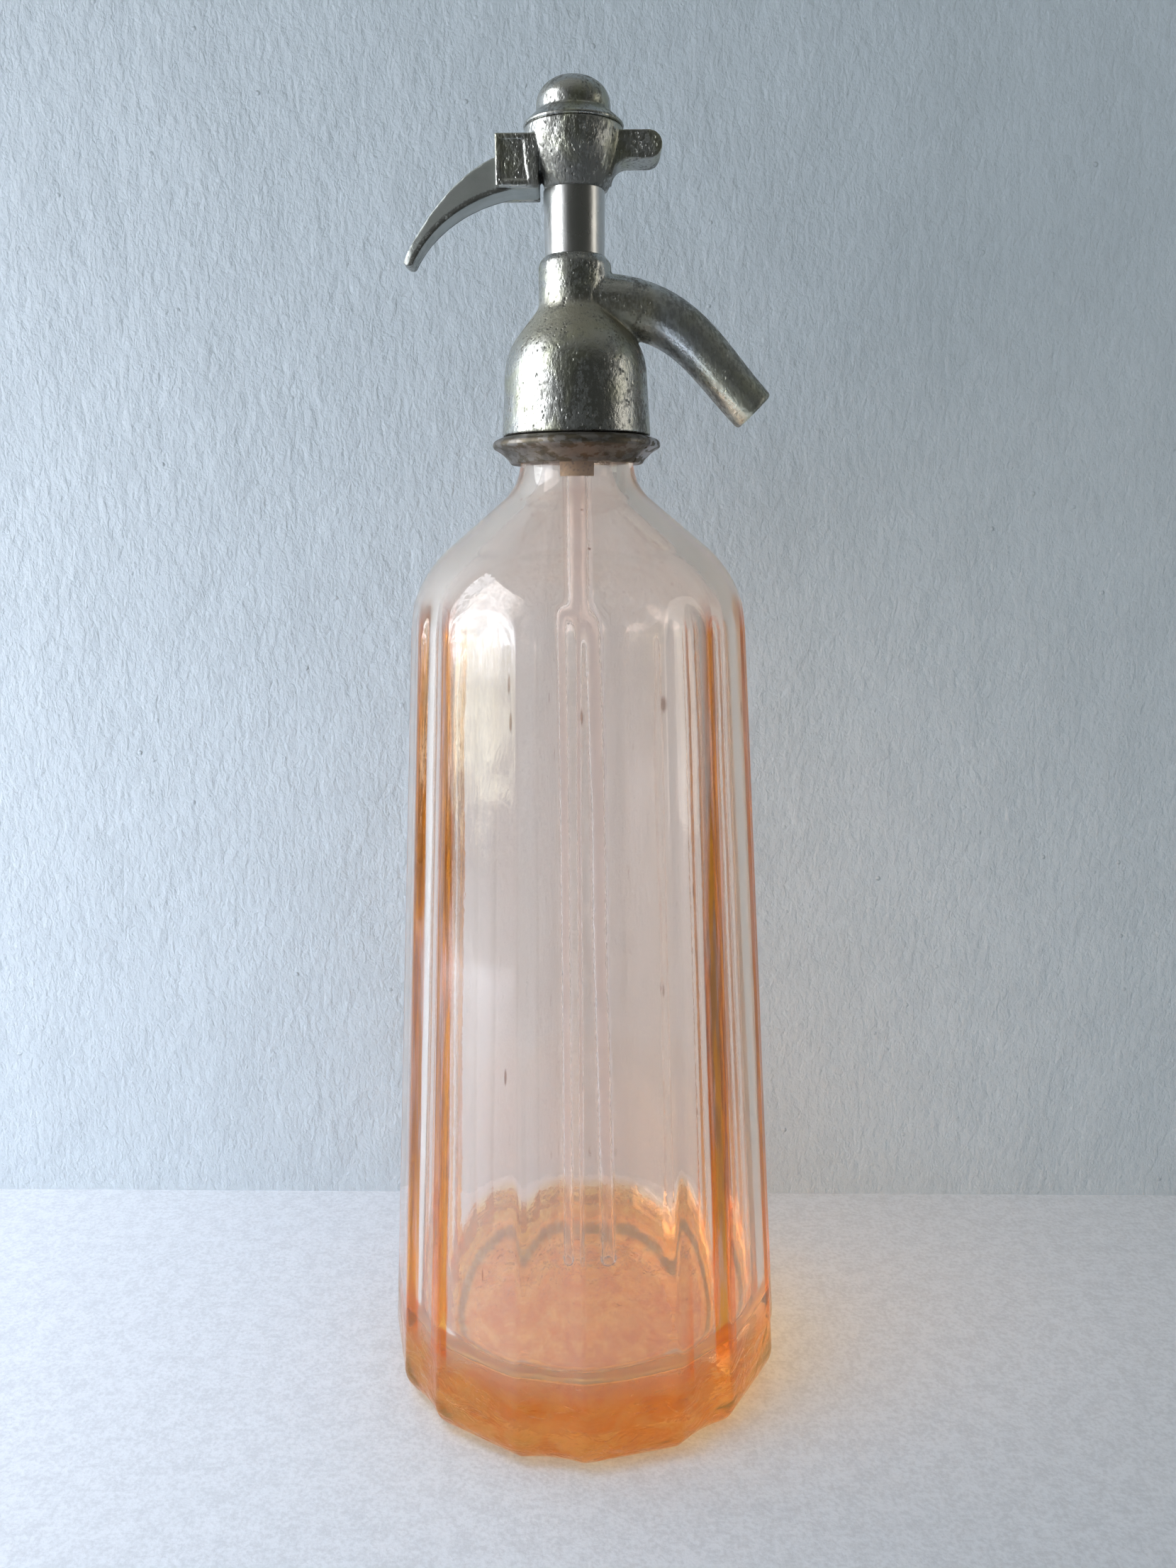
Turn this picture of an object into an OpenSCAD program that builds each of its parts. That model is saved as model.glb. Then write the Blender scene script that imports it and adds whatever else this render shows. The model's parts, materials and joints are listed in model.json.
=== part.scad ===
// Soda siphon: a faceted glass bottle under a cast head with a curved spout, a hand lever and a
// sprung valve. +X points to the spout, +Y away from the lever's free side, +Z up. The origin is
// on the bottle's axis, in the plane the bottle stands on.

/* [Glass bottle] */
// Height of the glass, from the table to its rim
bottle_h = 262; // [235:1:290]
// Diameter over the ridges, at the foot of the cone
base_d = 107.6; // [102:0.2:116]
// Lean of the wall, from upright (degrees)
wall_lean = 3.27; // [2.6:0.01:3.9]
// Lean of the shoulder, from upright (degrees)
shoulder_lean = 50; // [46:1:55]
// Radius that turns the wall into the shoulder
shoulder_round = 30; // [22:1:34]
// Radius that turns the shoulder into the neck
throat_round = 12; // [9:0.5:15]
// Height of the upright neck, with the rim
neck_h = 19.4; // [18.6:0.1:22]
// Outer diameter of the neck
neck_d = 27.8; // [25:0.2:32]
// Thickness of the glass wall
glass_wall = 5.4; // [4:0.1:6]
// Thickness of the glass floor
floor_t = 18.8; // [10:0.1:24]
// Radius of the bottle's lower edge
base_round = 9; // [5:0.5:12]
// Inner radius between the wall and the floor
floor_round = 10; // [5:0.5:14]
// Depth of the hollow under the base
punt_h = 2.5; // [1:0.1:4]
// Diameter of the hollow under the base
punt_d = 76; // [60:1:82]
// How far the rim's bead stands out from the neck
rim_lip = 1.7; // [1.2:0.1:2.4]
// Height of the rim's bead
rim_h = 5; // [4:0.1:6]
// Number of flutes round the bottle
flutes = 8; // [6:1:10]
// Share of the girth that the narrow flutes take
flute_share = 0.4; // [0.3:0.01:0.5]
// How much deeper than a flat face a flute is cut
flute_depth = 1; // [0.4:0.1:1.6]

/* [Collar] */
// Wall of the collar's threaded sleeve
collar_wall = 2.2; // [1.6:0.1:3]
// Height of the collar's sleeve, above its flange
sleeve_h = 8.8; // [6:0.1:9]
// Height of the collar's flange
flange_h = 6.4; // [6:0.1:8]
// How far the flange stands out from the skirt
flange_lip = 2.4; // [1.6:0.1:3.4]
// Radius of the flange's lip
lip_round = 1.25; // [0.8:0.05:1.5]
// Width of the saw cut between the two halves
split_gap = 0.3; // [0.2:0.05:0.8]
// Direction of the saw cut (degrees)
split_turn = -31; // [-60:1:0]

/* [Head] */
// Thickness of the neck gasket
gasket_t = 2; // [1.4:0.1:3]
// Wall of the skirt, at its lower edge
skirt_wall = 1.7; // [1.3:0.1:2.4]
// How much the skirt draws in toward its top
skirt_draft = 0.9; // [0.4:0.1:1.2]
// Radius of the skirt's upper turn
skirt_round = 14.6; // [12:0.2:17]
// Height of the casting, above the glass gasket
head_h = 25.6; // [24.6:0.1:28]
// Outer diameter of the casting's neck
head_neck_d = 17.4; // [16.8:0.1:19]
// Diameter of the liquid chamber round the valve
chamber_d = 8.8; // [8.6:0.1:9.6]

/* [Spout] */
// Height of the spout's root, above the gasket
spout_rise = 14.6; // [14.6:0.1:15.6]
// Reach of the spout's mouth, from the bottle's axis
spout_reach = 43.5; // [38:0.5:48]
// Drop of the spout's mouth, below its root
spout_drop = 24.75; // [20:0.25:27]
// Slope of the mouth, below level (degrees)
spout_slope = 45; // [38:0.5:48]
// Diameter of the spout at its root
spout_root_d = 15.2; // [13.6:0.1:15.6]
// Diameter of the spout at its mouth
spout_d = 11.2; // [10.4:0.1:12]
// Bore of the mouth
mouth_d = 8.2; // [7.2:0.1:8.6]
// Depth of the mouth's wide bore
mouth_depth = 8; // [5:0.5:12]
// Bore of the spout's inner channel
channel_d = 5.6; // [4.6:0.1:6]

/* [Neck tube] */
// Height of the tube that shows between the castings
tube_h = 14.5; // [12:0.5:18]
// Outer diameter of the tube
tube_d = 14.5; // [13.8:0.1:15]
// Bore of the tube, which guides the piston
guide_d = 6; // [5.6:0.1:6.4]

/* [Lever housing] */
// Height of the rounded housing
housing_h = 13.6; // [13.4:0.1:15]
// Diameter of the housing at its lower end
housing_low_d = 15.8; // [15.4:0.1:17]
// Diameter of the housing at its upper end
housing_top_d = 23; // [22.4:0.1:25]
// Reach of the lever box, from the axis
box_reach = 18; // [17:0.1:20]
// Height of the lever box
box_h = 11.3; // [11.1:0.1:12]
// Thickness of each cheek of the lever box
cheek_t = 2.25; // [1.8:0.05:2.8]
// Depth of the sunk panel in each cheek
panel_cut = 0.3; // [0.1:0.05:0.6]
// Reach of the finger stub, from the axis
stub_reach = 20.5; // [18:0.5:24]
// Height of the finger stub
stub_h = 6.2; // [5.4:0.1:6.8]
// Thickness of the finger stub
stub_t = 10; // [8:0.5:12]

/* [Cap] */
// Height of the cap's flange
cap_flange_h = 3.4; // [2.8:0.1:4]
// How far the cap's flange stands out from the housing
cap_lip = 0.3; // [0.1:0.05:0.8]
// Height of the cap's dome
dome_h = 7.7; // [7.4:0.1:10]
// Diameter of the cap's dome
dome_d = 17.4; // [16.6:0.2:19]

/* [Lever] */
// Reach of the lever's tip, from the axis
lever_reach = 41; // [36:0.5:50]
// Drop of the lever's tip, below the housing
lever_drop = 15; // [10:0.2:20]
// Width of the lever at its box
lever_w = 10; // [8:0.1:11]
// Width of the lever at its tip
tip_w = 8; // [7:0.1:9]
// Thickness of the lever at its tip
tip_t = 3.4; // [2.8:0.1:4]
// Distance of the pivot pin, from the outer end of the lever box
pivot_inset = 3.7; // [3.4:0.1:4]
// Diameter of the pivot pin
pin_d = 3; // [2.4:0.1:3.4]

/* [Piston and spring] */
// Diameter of the piston's head
piston_d = 8.4; // [8:0.1:8.8]
// Diameter of the piston rod
rod_d = 3.8; // [3:0.1:4]
// Diameter of the spring's wire
wire_d = 1; // [0.7:0.05:1.1]
// Diameter of the spring, over its coils
spring_d = 9; // [8.4:0.1:9.4]
// Number of turns in the spring
spring_turns = 4.5; // [3:0.5:5]
// Height of the spring, as fitted
spring_h = 10.3; // [9.6:0.1:10.6]

/* [Dip tube] */
// Outer diameter of the glass dip tube
dip_d = 7.2; // [6.4:0.1:7.6]
// Bore of the glass dip tube
dip_bore = 4.2; // [3.6:0.1:4.6]
// Height of the dip tube's open end, above the bottle's floor
dip_clear = 7; // [4:0.5:20]
// Wall of the cork sleeve round the dip tube
cork_wall = 0.85; // [0.7:0.05:1]
// Length of the cork sleeve
cork_h = 23.5; // [12:0.5:28]
// Wall of the brass socket that holds the sleeve
socket_wall = 1.1; // [0.9:0.05:1.3]
// Length of the brass socket
socket_h = 10; // [8:0.5:16]

/* [Hidden] */
$fn = 96;

// Clearances
fit_gap = 0.05;   // a sliding or seated fit, on the radius
screw_gap = 0.1;  // a screwed joint, on the radius
glass_gap = 0.2;  // metal round glass, on the radius
seat_gap = 0.2;   // between a skirt and the flange under it
valve_gap = 0.05; // between the washer and its seat, with the valve shut
side_gap = 0.25;  // beside the lever, on each side

// Bottle
base_r = base_d / 2;
neck_r = neck_d / 2;
bore_r = neck_r - glass_wall;
rim_r = neck_r + rim_lip;
throat_z = bottle_h - neck_h;
throat_c = [neck_r + throat_round, throat_z];
line_r = throat_c[0] - throat_round * cos(shoulder_lean);
line_z = throat_c[1] - throat_round * sin(shoulder_lean);
lean_t = tan(wall_lean);
line_t = tan(shoulder_lean);
shoulder_z = (shoulder_round * (cos(wall_lean) - cos(shoulder_lean) + lean_t * sin(wall_lean)
    - line_t * sin(shoulder_lean)) - base_r + line_r + line_t * line_z) / (line_t - lean_t);
shoulder_r = base_r - lean_t * (shoulder_z + shoulder_round * sin(wall_lean))
    - shoulder_round * cos(wall_lean);
flute_a = flute_share * 360 / flutes;
panel_a = 360 / flutes - flute_a;

// Heights, from the rim up
bead_z = bottle_h - rim_h;
flange_z = bead_z - sleeve_h;
collar_z = flange_z - flange_h;
skirt_z = flange_z + seat_gap;
head_z = bottle_h + gasket_t;
head_top = head_z + head_h;
housing_z = head_top + tube_h;
housing_top = housing_z + housing_h;
dome_z = housing_top + cap_flange_h;
cap_top = dome_z + dome_h;

// Collar and skirt
collar_in_r = neck_r + glass_gap;
sleeve_r = collar_in_r + collar_wall;
skirt_in_r = sleeve_r + screw_gap;
skirt_r = skirt_in_r + skirt_wall;
skirt_top_r = skirt_r - skirt_draft;
flange_r = skirt_r + flange_lip;

// Valve, from the bottom up
rod_r = rod_d / 2;
chamber_r = chamber_d / 2;
holder_h = 7;
holder_r = 5.9;
holder_bore_r = 2.3;
holder_flange_r = 7.9;
holder_flange_h = 1.7;
seat_lip_h = 0.55;
seat_lip_r = 3.1;
holder_z = head_z + holder_h;
washer_t = 1.8;
washer_r = 3.2;
washer_z = holder_z + seat_lip_h + valve_gap;
cup_r = chamber_r - 0.6;
cup_drop = 1;
cup_h = 4.6;
cup_z = washer_z + washer_t - cup_drop;
rod_z = cup_z + 2;
spout_z = head_z + spout_rise;
ledge_t = 1.7;
gland_z = head_top - 5.4;
packing_t = 1.8;
gland_washer_t = 1;
gland_r = 6.25;

// Lever housing
spigot_r = 5.65;
deck_z = housing_z + 3.9;
well_r = 8.2;
box_z = housing_z - 0.4;
slot_w = lever_w + 2 * side_gap;
box_w = slot_w + 2 * cheek_t;
slot_top = box_z + box_h - 1.2;
slot_end = 7;
slot_top_end = 6.1;
stub_top = housing_top - 1.5;

// Lever and piston
pivot_reach = box_reach - pivot_inset;
pivot_z = housing_z + 4.5;
nose_z = housing_z + 6.9;
nose_r = 1.5;
tongue_t = 1.6;
tongue_w = 4;
window_gap = 0.15;
piston_r = piston_d / 2;
piston_z = deck_z + 0.5;
piston_h = 6.8;
stem_r = guide_d / 2 - 0.08;
stem_h = 9.5;
spring_z = piston_z + piston_h;
spring_seat_r = spring_d / 2 - wire_d - 0.3;
pocket_r = spring_d / 2 + 0.7;
cap_spigot_h = 2.2;

// Dip tube
dip_r = dip_d / 2;
cork_r = dip_r + fit_gap + cork_wall;
socket_r = cork_r + fit_gap + socket_wall;
dip_top = head_z - 2.5;
dip_z = floor_t + dip_clear;

// A cubic curve through four control points, in n steps
function bezier(p, n) = [for (i = [0:n]) let (t = i / n, u = 1 - t)
    u * u * u * p[0] + 3 * u * u * t * p[1] + 3 * u * t * t * p[2] + t * t * t * p[3]];

// An arc round c, from angle a to angle b, in n steps
function arc(c, r, a, b, n) = [for (i = [0:n]) let (w = a + (b - a) * i / n)
    [c[0] + r * cos(w), c[1] + r * sin(w)]];

// Faces of a tube of rings, closed at both ends, for rings of m points
function ring_faces(rings, m) = concat(
    [for (j = [1:m - 2]) [0, j, j + 1]],
    [for (i = [0:rings - 2], j = [0:m - 1]) let (k = (j + 1) % m)
        each [[i * m + j, (i + 1) * m + j, (i + 1) * m + k],
              [i * m + j, (i + 1) * m + k, i * m + k]]],
    [for (j = [1:m - 2]) let (e = (rings - 1) * m) [e, e + j + 1, e + j]]
);

// Outline of the bottle as [radius, height], from the foot to the throat, offset in by a wall
function foot(n) = [for (i = [0:n]) let (w = 90 - 90 * i / n, z = base_round * (1 - sin(w)))
    [base_r - lean_t * z - base_round * (1 - cos(w)), z]];
function shoulder(wall, n) = arc([shoulder_r, shoulder_z], shoulder_round - wall,
    wall_lean, shoulder_lean, n);
function outer_shoulder(mid, n, m) = concat(
    arc([shoulder_r, shoulder_z], shoulder_round, wall_lean, mid, n),
    [for (p = arc([shoulder_r, shoulder_z], shoulder_round, mid, shoulder_lean, m))
        if (p[1] > shoulder_z + shoulder_round * sin(mid) + 0.01) p]
);
function throat(wall, n, stop) = arc(throat_c, throat_round + wall,
    180 + shoulder_lean, 180 + stop, n);

// Share of the full radius at an angle within one panel or flute, measured from its middle
function panel_share(a) = cos(panel_a / 2) / cos(a);
function flute_share_at(a) = cos(flute_a / 2) / cos(a)
    - flute_depth / base_r * (1 - pow(2 * a / flute_a, 2));

// The angles of one ring, with the share of the full radius at each
side_steps = 5;
ring = [for (k = [0:flutes - 1]) let (turn = k * 360 / flutes - 90)
    each concat(
        [for (i = [0:side_steps - 1]) let (a = panel_a * (i / side_steps - 0.5))
            [turn + panel_a / 2 + a, panel_share(a)]],
        [for (i = [0:side_steps - 1]) let (a = flute_a * (i / side_steps - 0.5))
            [turn + panel_a + flute_a / 2 + a, flute_share_at(a)]]
    )];

module glass_bottle() {
    wall_steps = 7;
    wall_low = base_round;
    wall_top = shoulder_z + shoulder_round * sin(wall_lean);
    stop = 8;
    arch_lean = wall_lean + acos(1 - (base_r - lean_t * shoulder_z)
        * (1 - cos(panel_a / 2)) / shoulder_round) + 2;
    outline = concat(
        foot(6),
        [for (i = [1:wall_steps - 1]) let (z = wall_low + (wall_top - wall_low) * i / wall_steps)
            [base_r - lean_t * z, z]],
        outer_shoulder(arch_lean, 12, 6),
        throat(0, 5, stop)
    );
    points = [for (p = outline) let (cone = base_r - lean_t * p[1])
        each [for (q = ring)
            let (r = p[1] < base_round ? p[0] * q[1] : min(p[0], cone * q[1]))
            [r * cos(q[0]), r * sin(q[0]), p[1]]]];
    inner_r = base_r - lean_t * floor_t - glass_wall / cos(wall_lean);
    punt_r = (punt_d * punt_d / 4 + punt_h * punt_h) / (2 * punt_h);
    color("mistyrose", 0.5)
    difference() {
        union() {
            polyhedron(points = points, faces = ring_faces(len(outline), len(ring)));
            translate([0, 0, line_z + 2]) cylinder(r = neck_r, h = bead_z - line_z - 1);
            rotate_extrude() polygon(concat(
                [[bore_r - 1, bead_z]],
                arc([rim_r - 1.2, bead_z + 1.2], 1.2, -90, 0, 6),
                arc([rim_r - 1.6, bottle_h - 1.6], 1.6, 0, 90, 8),
                [[bore_r - 1, bottle_h]]
            ));
        }
        rotate_extrude() polygon(concat(
            [[0, floor_t]],
            arc([inner_r - floor_round, floor_t + floor_round], floor_round,
                -90, wall_lean, 10),
            shoulder(glass_wall, 14),
            throat(glass_wall, 10, 0),
            [[bore_r, bottle_h + 1], [0, bottle_h + 1]]
        ));
        translate([0, 0, punt_h - punt_r]) sphere(r = punt_r, $fn = 120);
    }
}

// One half of the collar: a threaded sleeve over a flange with a rounded lip and a hollow cone
module collar_half(turn) {
    lip = [flange_r - lip_round, flange_z - lip_round - 0.6];
    foot_r = collar_in_r + 2.3;
    cone = bezier([lip + lip_round * [cos(-40), sin(-40)], lip + [-0.8, -1.7],
        [foot_r + 1.2, collar_z + 2], [foot_r, collar_z + 0.7]], 8);
    cut = asin(split_gap / 2 / collar_in_r);
    rotate([0, 0, turn + cut])
    rotate_extrude(angle = 180 - 2 * cut)
    polygon(concat(
        [[collar_in_r, collar_z + 0.4]],
        [[collar_in_r, bead_z], [sleeve_r - 0.4, bead_z], [sleeve_r, bead_z - 0.4]],
        [[sleeve_r, flange_z], [skirt_r, flange_z]],
        arc(lip, lip_round, 70, -40, 8),
        [for (i = [1:8]) cone[i]],
        arc([foot_r - 0.7, collar_z + 0.7], 0.7, -20, -90, 4),
        [[collar_in_r + 0.4, collar_z]]
    ));
}

module collar_half_front() {
    color("dimgray") collar_half(split_turn - 180);
}

module collar_half_back() {
    color("gray") collar_half(split_turn);
}

module neck_gasket() {
    color("saddlebrown")
    translate([0, 0, bottle_h])
    difference() {
        cylinder(r = rim_r, h = gasket_t);
        translate([0, 0, -1]) cylinder(r = bore_r, h = gasket_t + 2);
    }
}

// The spout's middle line, in the plane of the lever
spout_handle = 17.5;
spout_path = bezier([
    [4, spout_z], [26, spout_z + 1],
    [spout_reach - spout_handle * cos(spout_slope),
        spout_z - spout_drop + spout_handle * sin(spout_slope)],
    [spout_reach, spout_z - spout_drop]], 18);
mouth_round = 1;

// A tube along points in the XZ plane, with one radius for each, in m sides
module swept(path, radii, m) {
    n = len(path);
    points = [for (i = [0:n - 1])
        let (d = path[min(i + 1, n - 1)] - path[max(i - 1, 0)], t = d / norm(d))
        each [for (j = [0:m - 1]) let (a = 360 * j / m, s = radii[i] * cos(a))
            [path[i][0] - s * t[1], -radii[i] * sin(a), path[i][1] + s * t[0]]]];
    polyhedron(points = points, faces = ring_faces(n, m));
}

module spout_body() {
    n = len(spout_path);
    way = [cos(spout_slope), -sin(spout_slope)];
    flare = (spout_root_d - spout_d) / 2;
    tip = spout_path[n - 1];
    body = [for (i = [0:n - 2]) spout_path[i]];
    edge = [for (a = [0:30:90]) tip + way * mouth_round * (sin(a) - 1)];
    swept(
        concat(body, edge),
        concat([for (i = [0:n - 2]) spout_d / 2 + flare * pow(1 - i / n, 2)],
            [for (a = [0:30:90]) spout_d / 2 - mouth_round * (1 - cos(a))]),
        24
    );
}

module head_body() {
    turn_a = 38.7;
    turn_z = head_z - 1.6;
    throat_r = head_neck_d / 2;
    hollow = 3.5;
    top_round = 2.6;
    turn = arc([skirt_top_r - skirt_round, turn_z], skirt_round, 0, turn_a, 10);
    slope_end = throat_r + hollow * (1 - cos(turn_a));
    slope_z = turn[10][1] + (turn[10][0] - slope_end) / tan(turn_a);
    top_r = tube_d / 2 + 0.1;
    color("slategray")
    difference() {
        union() {
            rotate_extrude() polygon(concat(
                [[0, skirt_z], [skirt_r - 0.3, skirt_z], [skirt_r, skirt_z + 0.3]],
                turn,
                arc([throat_r + hollow, slope_z + hollow * sin(turn_a)], hollow,
                    180 + turn_a, 180, 6),
                arc([throat_r - top_round, head_top - top_round], top_round, 0,
                    acos((top_r - throat_r + top_round) / top_round), 6),
                [[top_r, head_top], [0, head_top]]
            ));
            spout_body();
        }
        translate([0, 0, skirt_z - 1]) cylinder(r = skirt_in_r, h = head_z - skirt_z + 1);
        translate([0, 0, head_z - 1]) cylinder(r = holder_r + screw_gap, h = holder_h + 1);
        translate([0, 0, holder_z - 1]) cylinder(r = chamber_r, h = gland_z - ledge_t - holder_z + 1);
        translate([0, 0, head_z]) cylinder(r = rod_r + 0.3, h = head_h);
        translate([0, 0, gland_z]) cylinder(r = gland_r, h = head_top - gland_z + 1);
        swept([for (i = [0:len(spout_path) - 2]) spout_path[i]],
            [for (p = spout_path) channel_d / 2], 12);
        translate([spout_reach, 0, spout_z - spout_drop])
            rotate([0, 90 + spout_slope, 0])
            translate([0, 0, -mouth_depth]) cylinder(d = mouth_d, h = mouth_depth + 2);
    }
}

module neck_tube() {
    foot_z = gland_z + packing_t + gland_washer_t;
    color("silver")
    difference() {
        union() {
            translate([0, 0, foot_z]) cylinder(r = gland_r - screw_gap, h = head_top - foot_z + 1);
            translate([0, 0, head_top]) cylinder(d1 = tube_d - 0.3, d2 = tube_d, h = tube_h);
            translate([0, 0, housing_z - 1]) cylinder(r = spigot_r, h = deck_z - housing_z + 1);
        }
        translate([0, 0, foot_z - 1]) cylinder(d = guide_d, h = deck_z - foot_z + 2);
    }
}

module lever_housing() {
    low_r = housing_low_d / 2;
    top_r = housing_top_d / 2;
    stub_r = stub_h / 2;
    nick = 3.6;
    color("darkgray")
    difference() {
        union() {
            rotate_extrude() polygon(concat(
                [[0, housing_z], [low_r - 0.3, housing_z]],
                bezier([[low_r, housing_z + 0.3], [low_r + 1.7, housing_z + 3.5],
                    [top_r - 0.1, housing_z + 6.5], [top_r, housing_top]], 14),
                [[0, housing_top]]
            ));
            translate([-box_reach, -box_w / 2, box_z]) cube([box_reach - well_r, box_w, box_h]);
            translate([0, stub_t / 2, 0]) rotate([90, 0, 0]) linear_extrude(stub_t) polygon(concat(
                [[0, stub_top]],
                arc([stub_reach - stub_r, stub_top - stub_r], stub_r, 90, -90, 16),
                arc([low_r + nick + 1, stub_top - stub_h - nick], nick, 90, 180, 8),
                [[0, stub_top - stub_h - nick]]
            ));
        }
        translate([-box_reach - 1, -slot_w / 2, box_z - 1])
            cube([box_reach + 1 - slot_end, slot_w, slot_top - box_z + 1]);
        translate([-box_reach - 1, -slot_w / 2, pivot_z])
            cube([box_reach + 1 - slot_top_end, slot_w, slot_top - pivot_z]);
        for (side = [-1, 1]) translate([0, side * (box_w / 2 - panel_cut + 1) + 1, 0])
            rotate([90, 0, 0]) linear_extrude(2) polygon([
                [1.3 - box_reach, box_z + 1.6], [1.7 - box_reach, box_z + 1.2],
                [-low_r - 2.4, box_z + 1.2], [-low_r - 2.9, box_z + 4],
                [-low_r - 3.4, box_z + box_h - 1.2], [1.7 - box_reach, box_z + box_h - 1.2],
                [1.3 - box_reach, box_z + box_h - 1.6]]);
        translate([0, 0, deck_z]) cylinder(r = well_r, h = housing_h);
        translate([0, 0, housing_z - 1]) cylinder(r = spigot_r + fit_gap, h = housing_h);
        translate([-pivot_reach, box_w / 2 + 1, pivot_z]) rotate([90, 0, 0])
            cylinder(d = pin_d + fit_gap, h = box_w + 2);
    }
}

module cap() {
    brim_r = housing_top_d / 2 + cap_lip;
    dome_r = dome_d / 2;
    crown = [7.4, 6.2];
    color("gainsboro")
    difference() {
        rotate_extrude() polygon(concat(
            [[0, housing_top - cap_spigot_h], [well_r - screw_gap, housing_top - cap_spigot_h],
             [well_r - screw_gap, housing_top]],
            arc([brim_r - 0.5, housing_top + 0.5], 0.5, -90, 50, 6),
            [[dome_r + 0.5, dome_z - 0.4], [dome_r, dome_z]],
            [for (i = [0:12]) let (w = 90 * i / 12)
                [dome_r - crown[0] * (1 - cos(w)), cap_top - crown[1] * (1 - sin(w))]],
            [[0, cap_top]]
        ));
        translate([0, 0, housing_top - cap_spigot_h - 1])
            cylinder(r = pocket_r, h = spring_z + spring_h - housing_top + cap_spigot_h + 1);
    }
}

// The spring is one wire that winds up evenly
spring_steps = 8;
spring_r = (spring_d - wire_d) / 2;
spring_pitch = (spring_h - wire_d) / spring_turns;
spring_path = [for (i = [0:spring_steps * spring_turns]) let (turn = i / spring_steps)
    [spring_r * cos(360 * turn), spring_r * sin(360 * turn),
     spring_z + wire_d / 2 + spring_pitch * turn]];

module return_spring() {
    m = 6;
    n = len(spring_path);
    points = [for (i = [0:n - 1])
        let (c = spring_path[i], a = 360 * i / spring_steps)
        each [for (j = [0:m - 1]) let (w = 360 * j / m + 30, s = wire_d / 2 * cos(w))
            [c[0] + s * cos(a), c[1] + s * sin(a), c[2] + wire_d / 2 * sin(w)]]];
    color("lightsteelblue") polyhedron(points = points, faces = ring_faces(n, m));
}

module piston_head() {
    window_h = 2 * (nose_r + window_gap);
    color("goldenrod")
    difference() {
        union() {
            translate([0, 0, piston_z - stem_h]) cylinder(r = stem_r, h = stem_h + 1);
            translate([0, 0, piston_z]) cylinder(r = piston_r, h = piston_h);
            translate([0, 0, spring_z - 1]) cylinder(r = spring_seat_r, h = 3.2);
        }
        translate([-piston_r - 1, -tongue_w / 2 - 0.2, nose_z - window_h / 2])
            cube([2 * piston_r + 2, tongue_w + 0.4, window_h]);
        translate([0, 0, piston_z - stem_h - 1]) cylinder(r = rod_r + fit_gap, h = 7);
    }
}

module piston_rod() {
    color("peru")
    translate([0, 0, rod_z]) cylinder(r = rod_r, h = piston_z - stem_h + 6 - rod_z);
}

module valve_cup() {
    color("goldenrod")
    difference() {
        translate([0, 0, cup_z]) cylinder(r = cup_r, h = cup_h);
        translate([0, 0, cup_z - 1]) cylinder(r = washer_r + fit_gap, h = 1 + cup_drop);
        translate([0, 0, rod_z]) cylinder(r = rod_r + fit_gap, h = cup_h);
    }
}

module valve_washer() {
    color("black") translate([0, 0, washer_z]) cylinder(r = washer_r, h = washer_t);
}

module gland_packing() {
    color("sienna")
    translate([0, 0, gland_z])
    difference() {
        cylinder(r = gland_r - fit_gap, h = packing_t);
        translate([0, 0, -1]) cylinder(r = rod_r + fit_gap, h = packing_t + 2);
    }
}

module gland_washer() {
    color("goldenrod")
    translate([0, 0, gland_z + packing_t])
    difference() {
        cylinder(r = gland_r - fit_gap, h = gland_washer_t);
        translate([0, 0, -1]) cylinder(r = rod_r + 0.3, h = gland_washer_t + 2);
    }
}

// The lever: a bowed bar that thins to a rounded tip, with a narrow tongue into the piston
module lever() {
    root = -pivot_reach;
    span = lever_reach - pivot_reach;
    top_z = housing_z + 7.6;
    low_z = housing_z - 0.4;
    tip = [-lever_reach + tip_t / 2 + 0.2, housing_z - lever_drop];
    tip_a = 300;
    upper = tip - tip_t / 2 * [cos(tip_a - 90), sin(tip_a - 90)] * -1;
    top = bezier([[root, top_z], [root - span * 0.44, top_z - 2.2],
        upper + [5.5, 9.7], upper], 14);
    lower = tip + tip_t / 2 * [cos(tip_a), sin(tip_a)];
    under = bezier([lower, lower + [4.5, 8.9], [root - span * 0.36, low_z - 1.5],
        [root, low_z]], 14);
    inner = 5.6;
    heel = 8.2;
    plan_r = 3;
    color("lightslategray")
    difference() {
        union() {
            intersection() {
                translate([0, lever_w / 2, 0]) rotate([90, 0, 0]) linear_extrude(lever_w)
                    polygon(concat(
                        [for (i = [0:13]) top[i]],
                        arc(tip, tip_t / 2, tip_a - 90, tip_a, 6),
                        [for (i = [1:14]) under[i]],
                        [[-heel - 0.6, low_z], [-heel, low_z + 0.6], [-heel, pivot_z - 0.3],
                         [-heel + 1, pivot_z + 0.7], [-inner, pivot_z + 0.7], [-inner, top_z]]
                    ));
                translate([0, 0, housing_z - lever_drop - 10]) linear_extrude(lever_drop + 30)
                    polygon(concat(
                        [[0, -lever_w / 2], [0, lever_w / 2], [-box_reach, lever_w / 2]],
                        arc([-lever_reach + plan_r, tip_w / 2 - plan_r], plan_r, 90, 180, 8),
                        arc([-lever_reach + plan_r, plan_r - tip_w / 2], plan_r, 180, 270, 8),
                        [[-box_reach, -lever_w / 2]]
                    ));
            }
            translate([-inner - 1, -tongue_w / 2, nose_z - tongue_t / 2])
                cube([inner + 1, tongue_w, tongue_t]);
            translate([0, tongue_w / 2, nose_z]) rotate([90, 0, 0])
                cylinder(r = nose_r, h = tongue_w);
        }
        translate([-pivot_reach, lever_w, pivot_z]) rotate([90, 0, 0])
            cylinder(d = pin_d + 2 * fit_gap, h = 2 * lever_w);
    }
}

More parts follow.
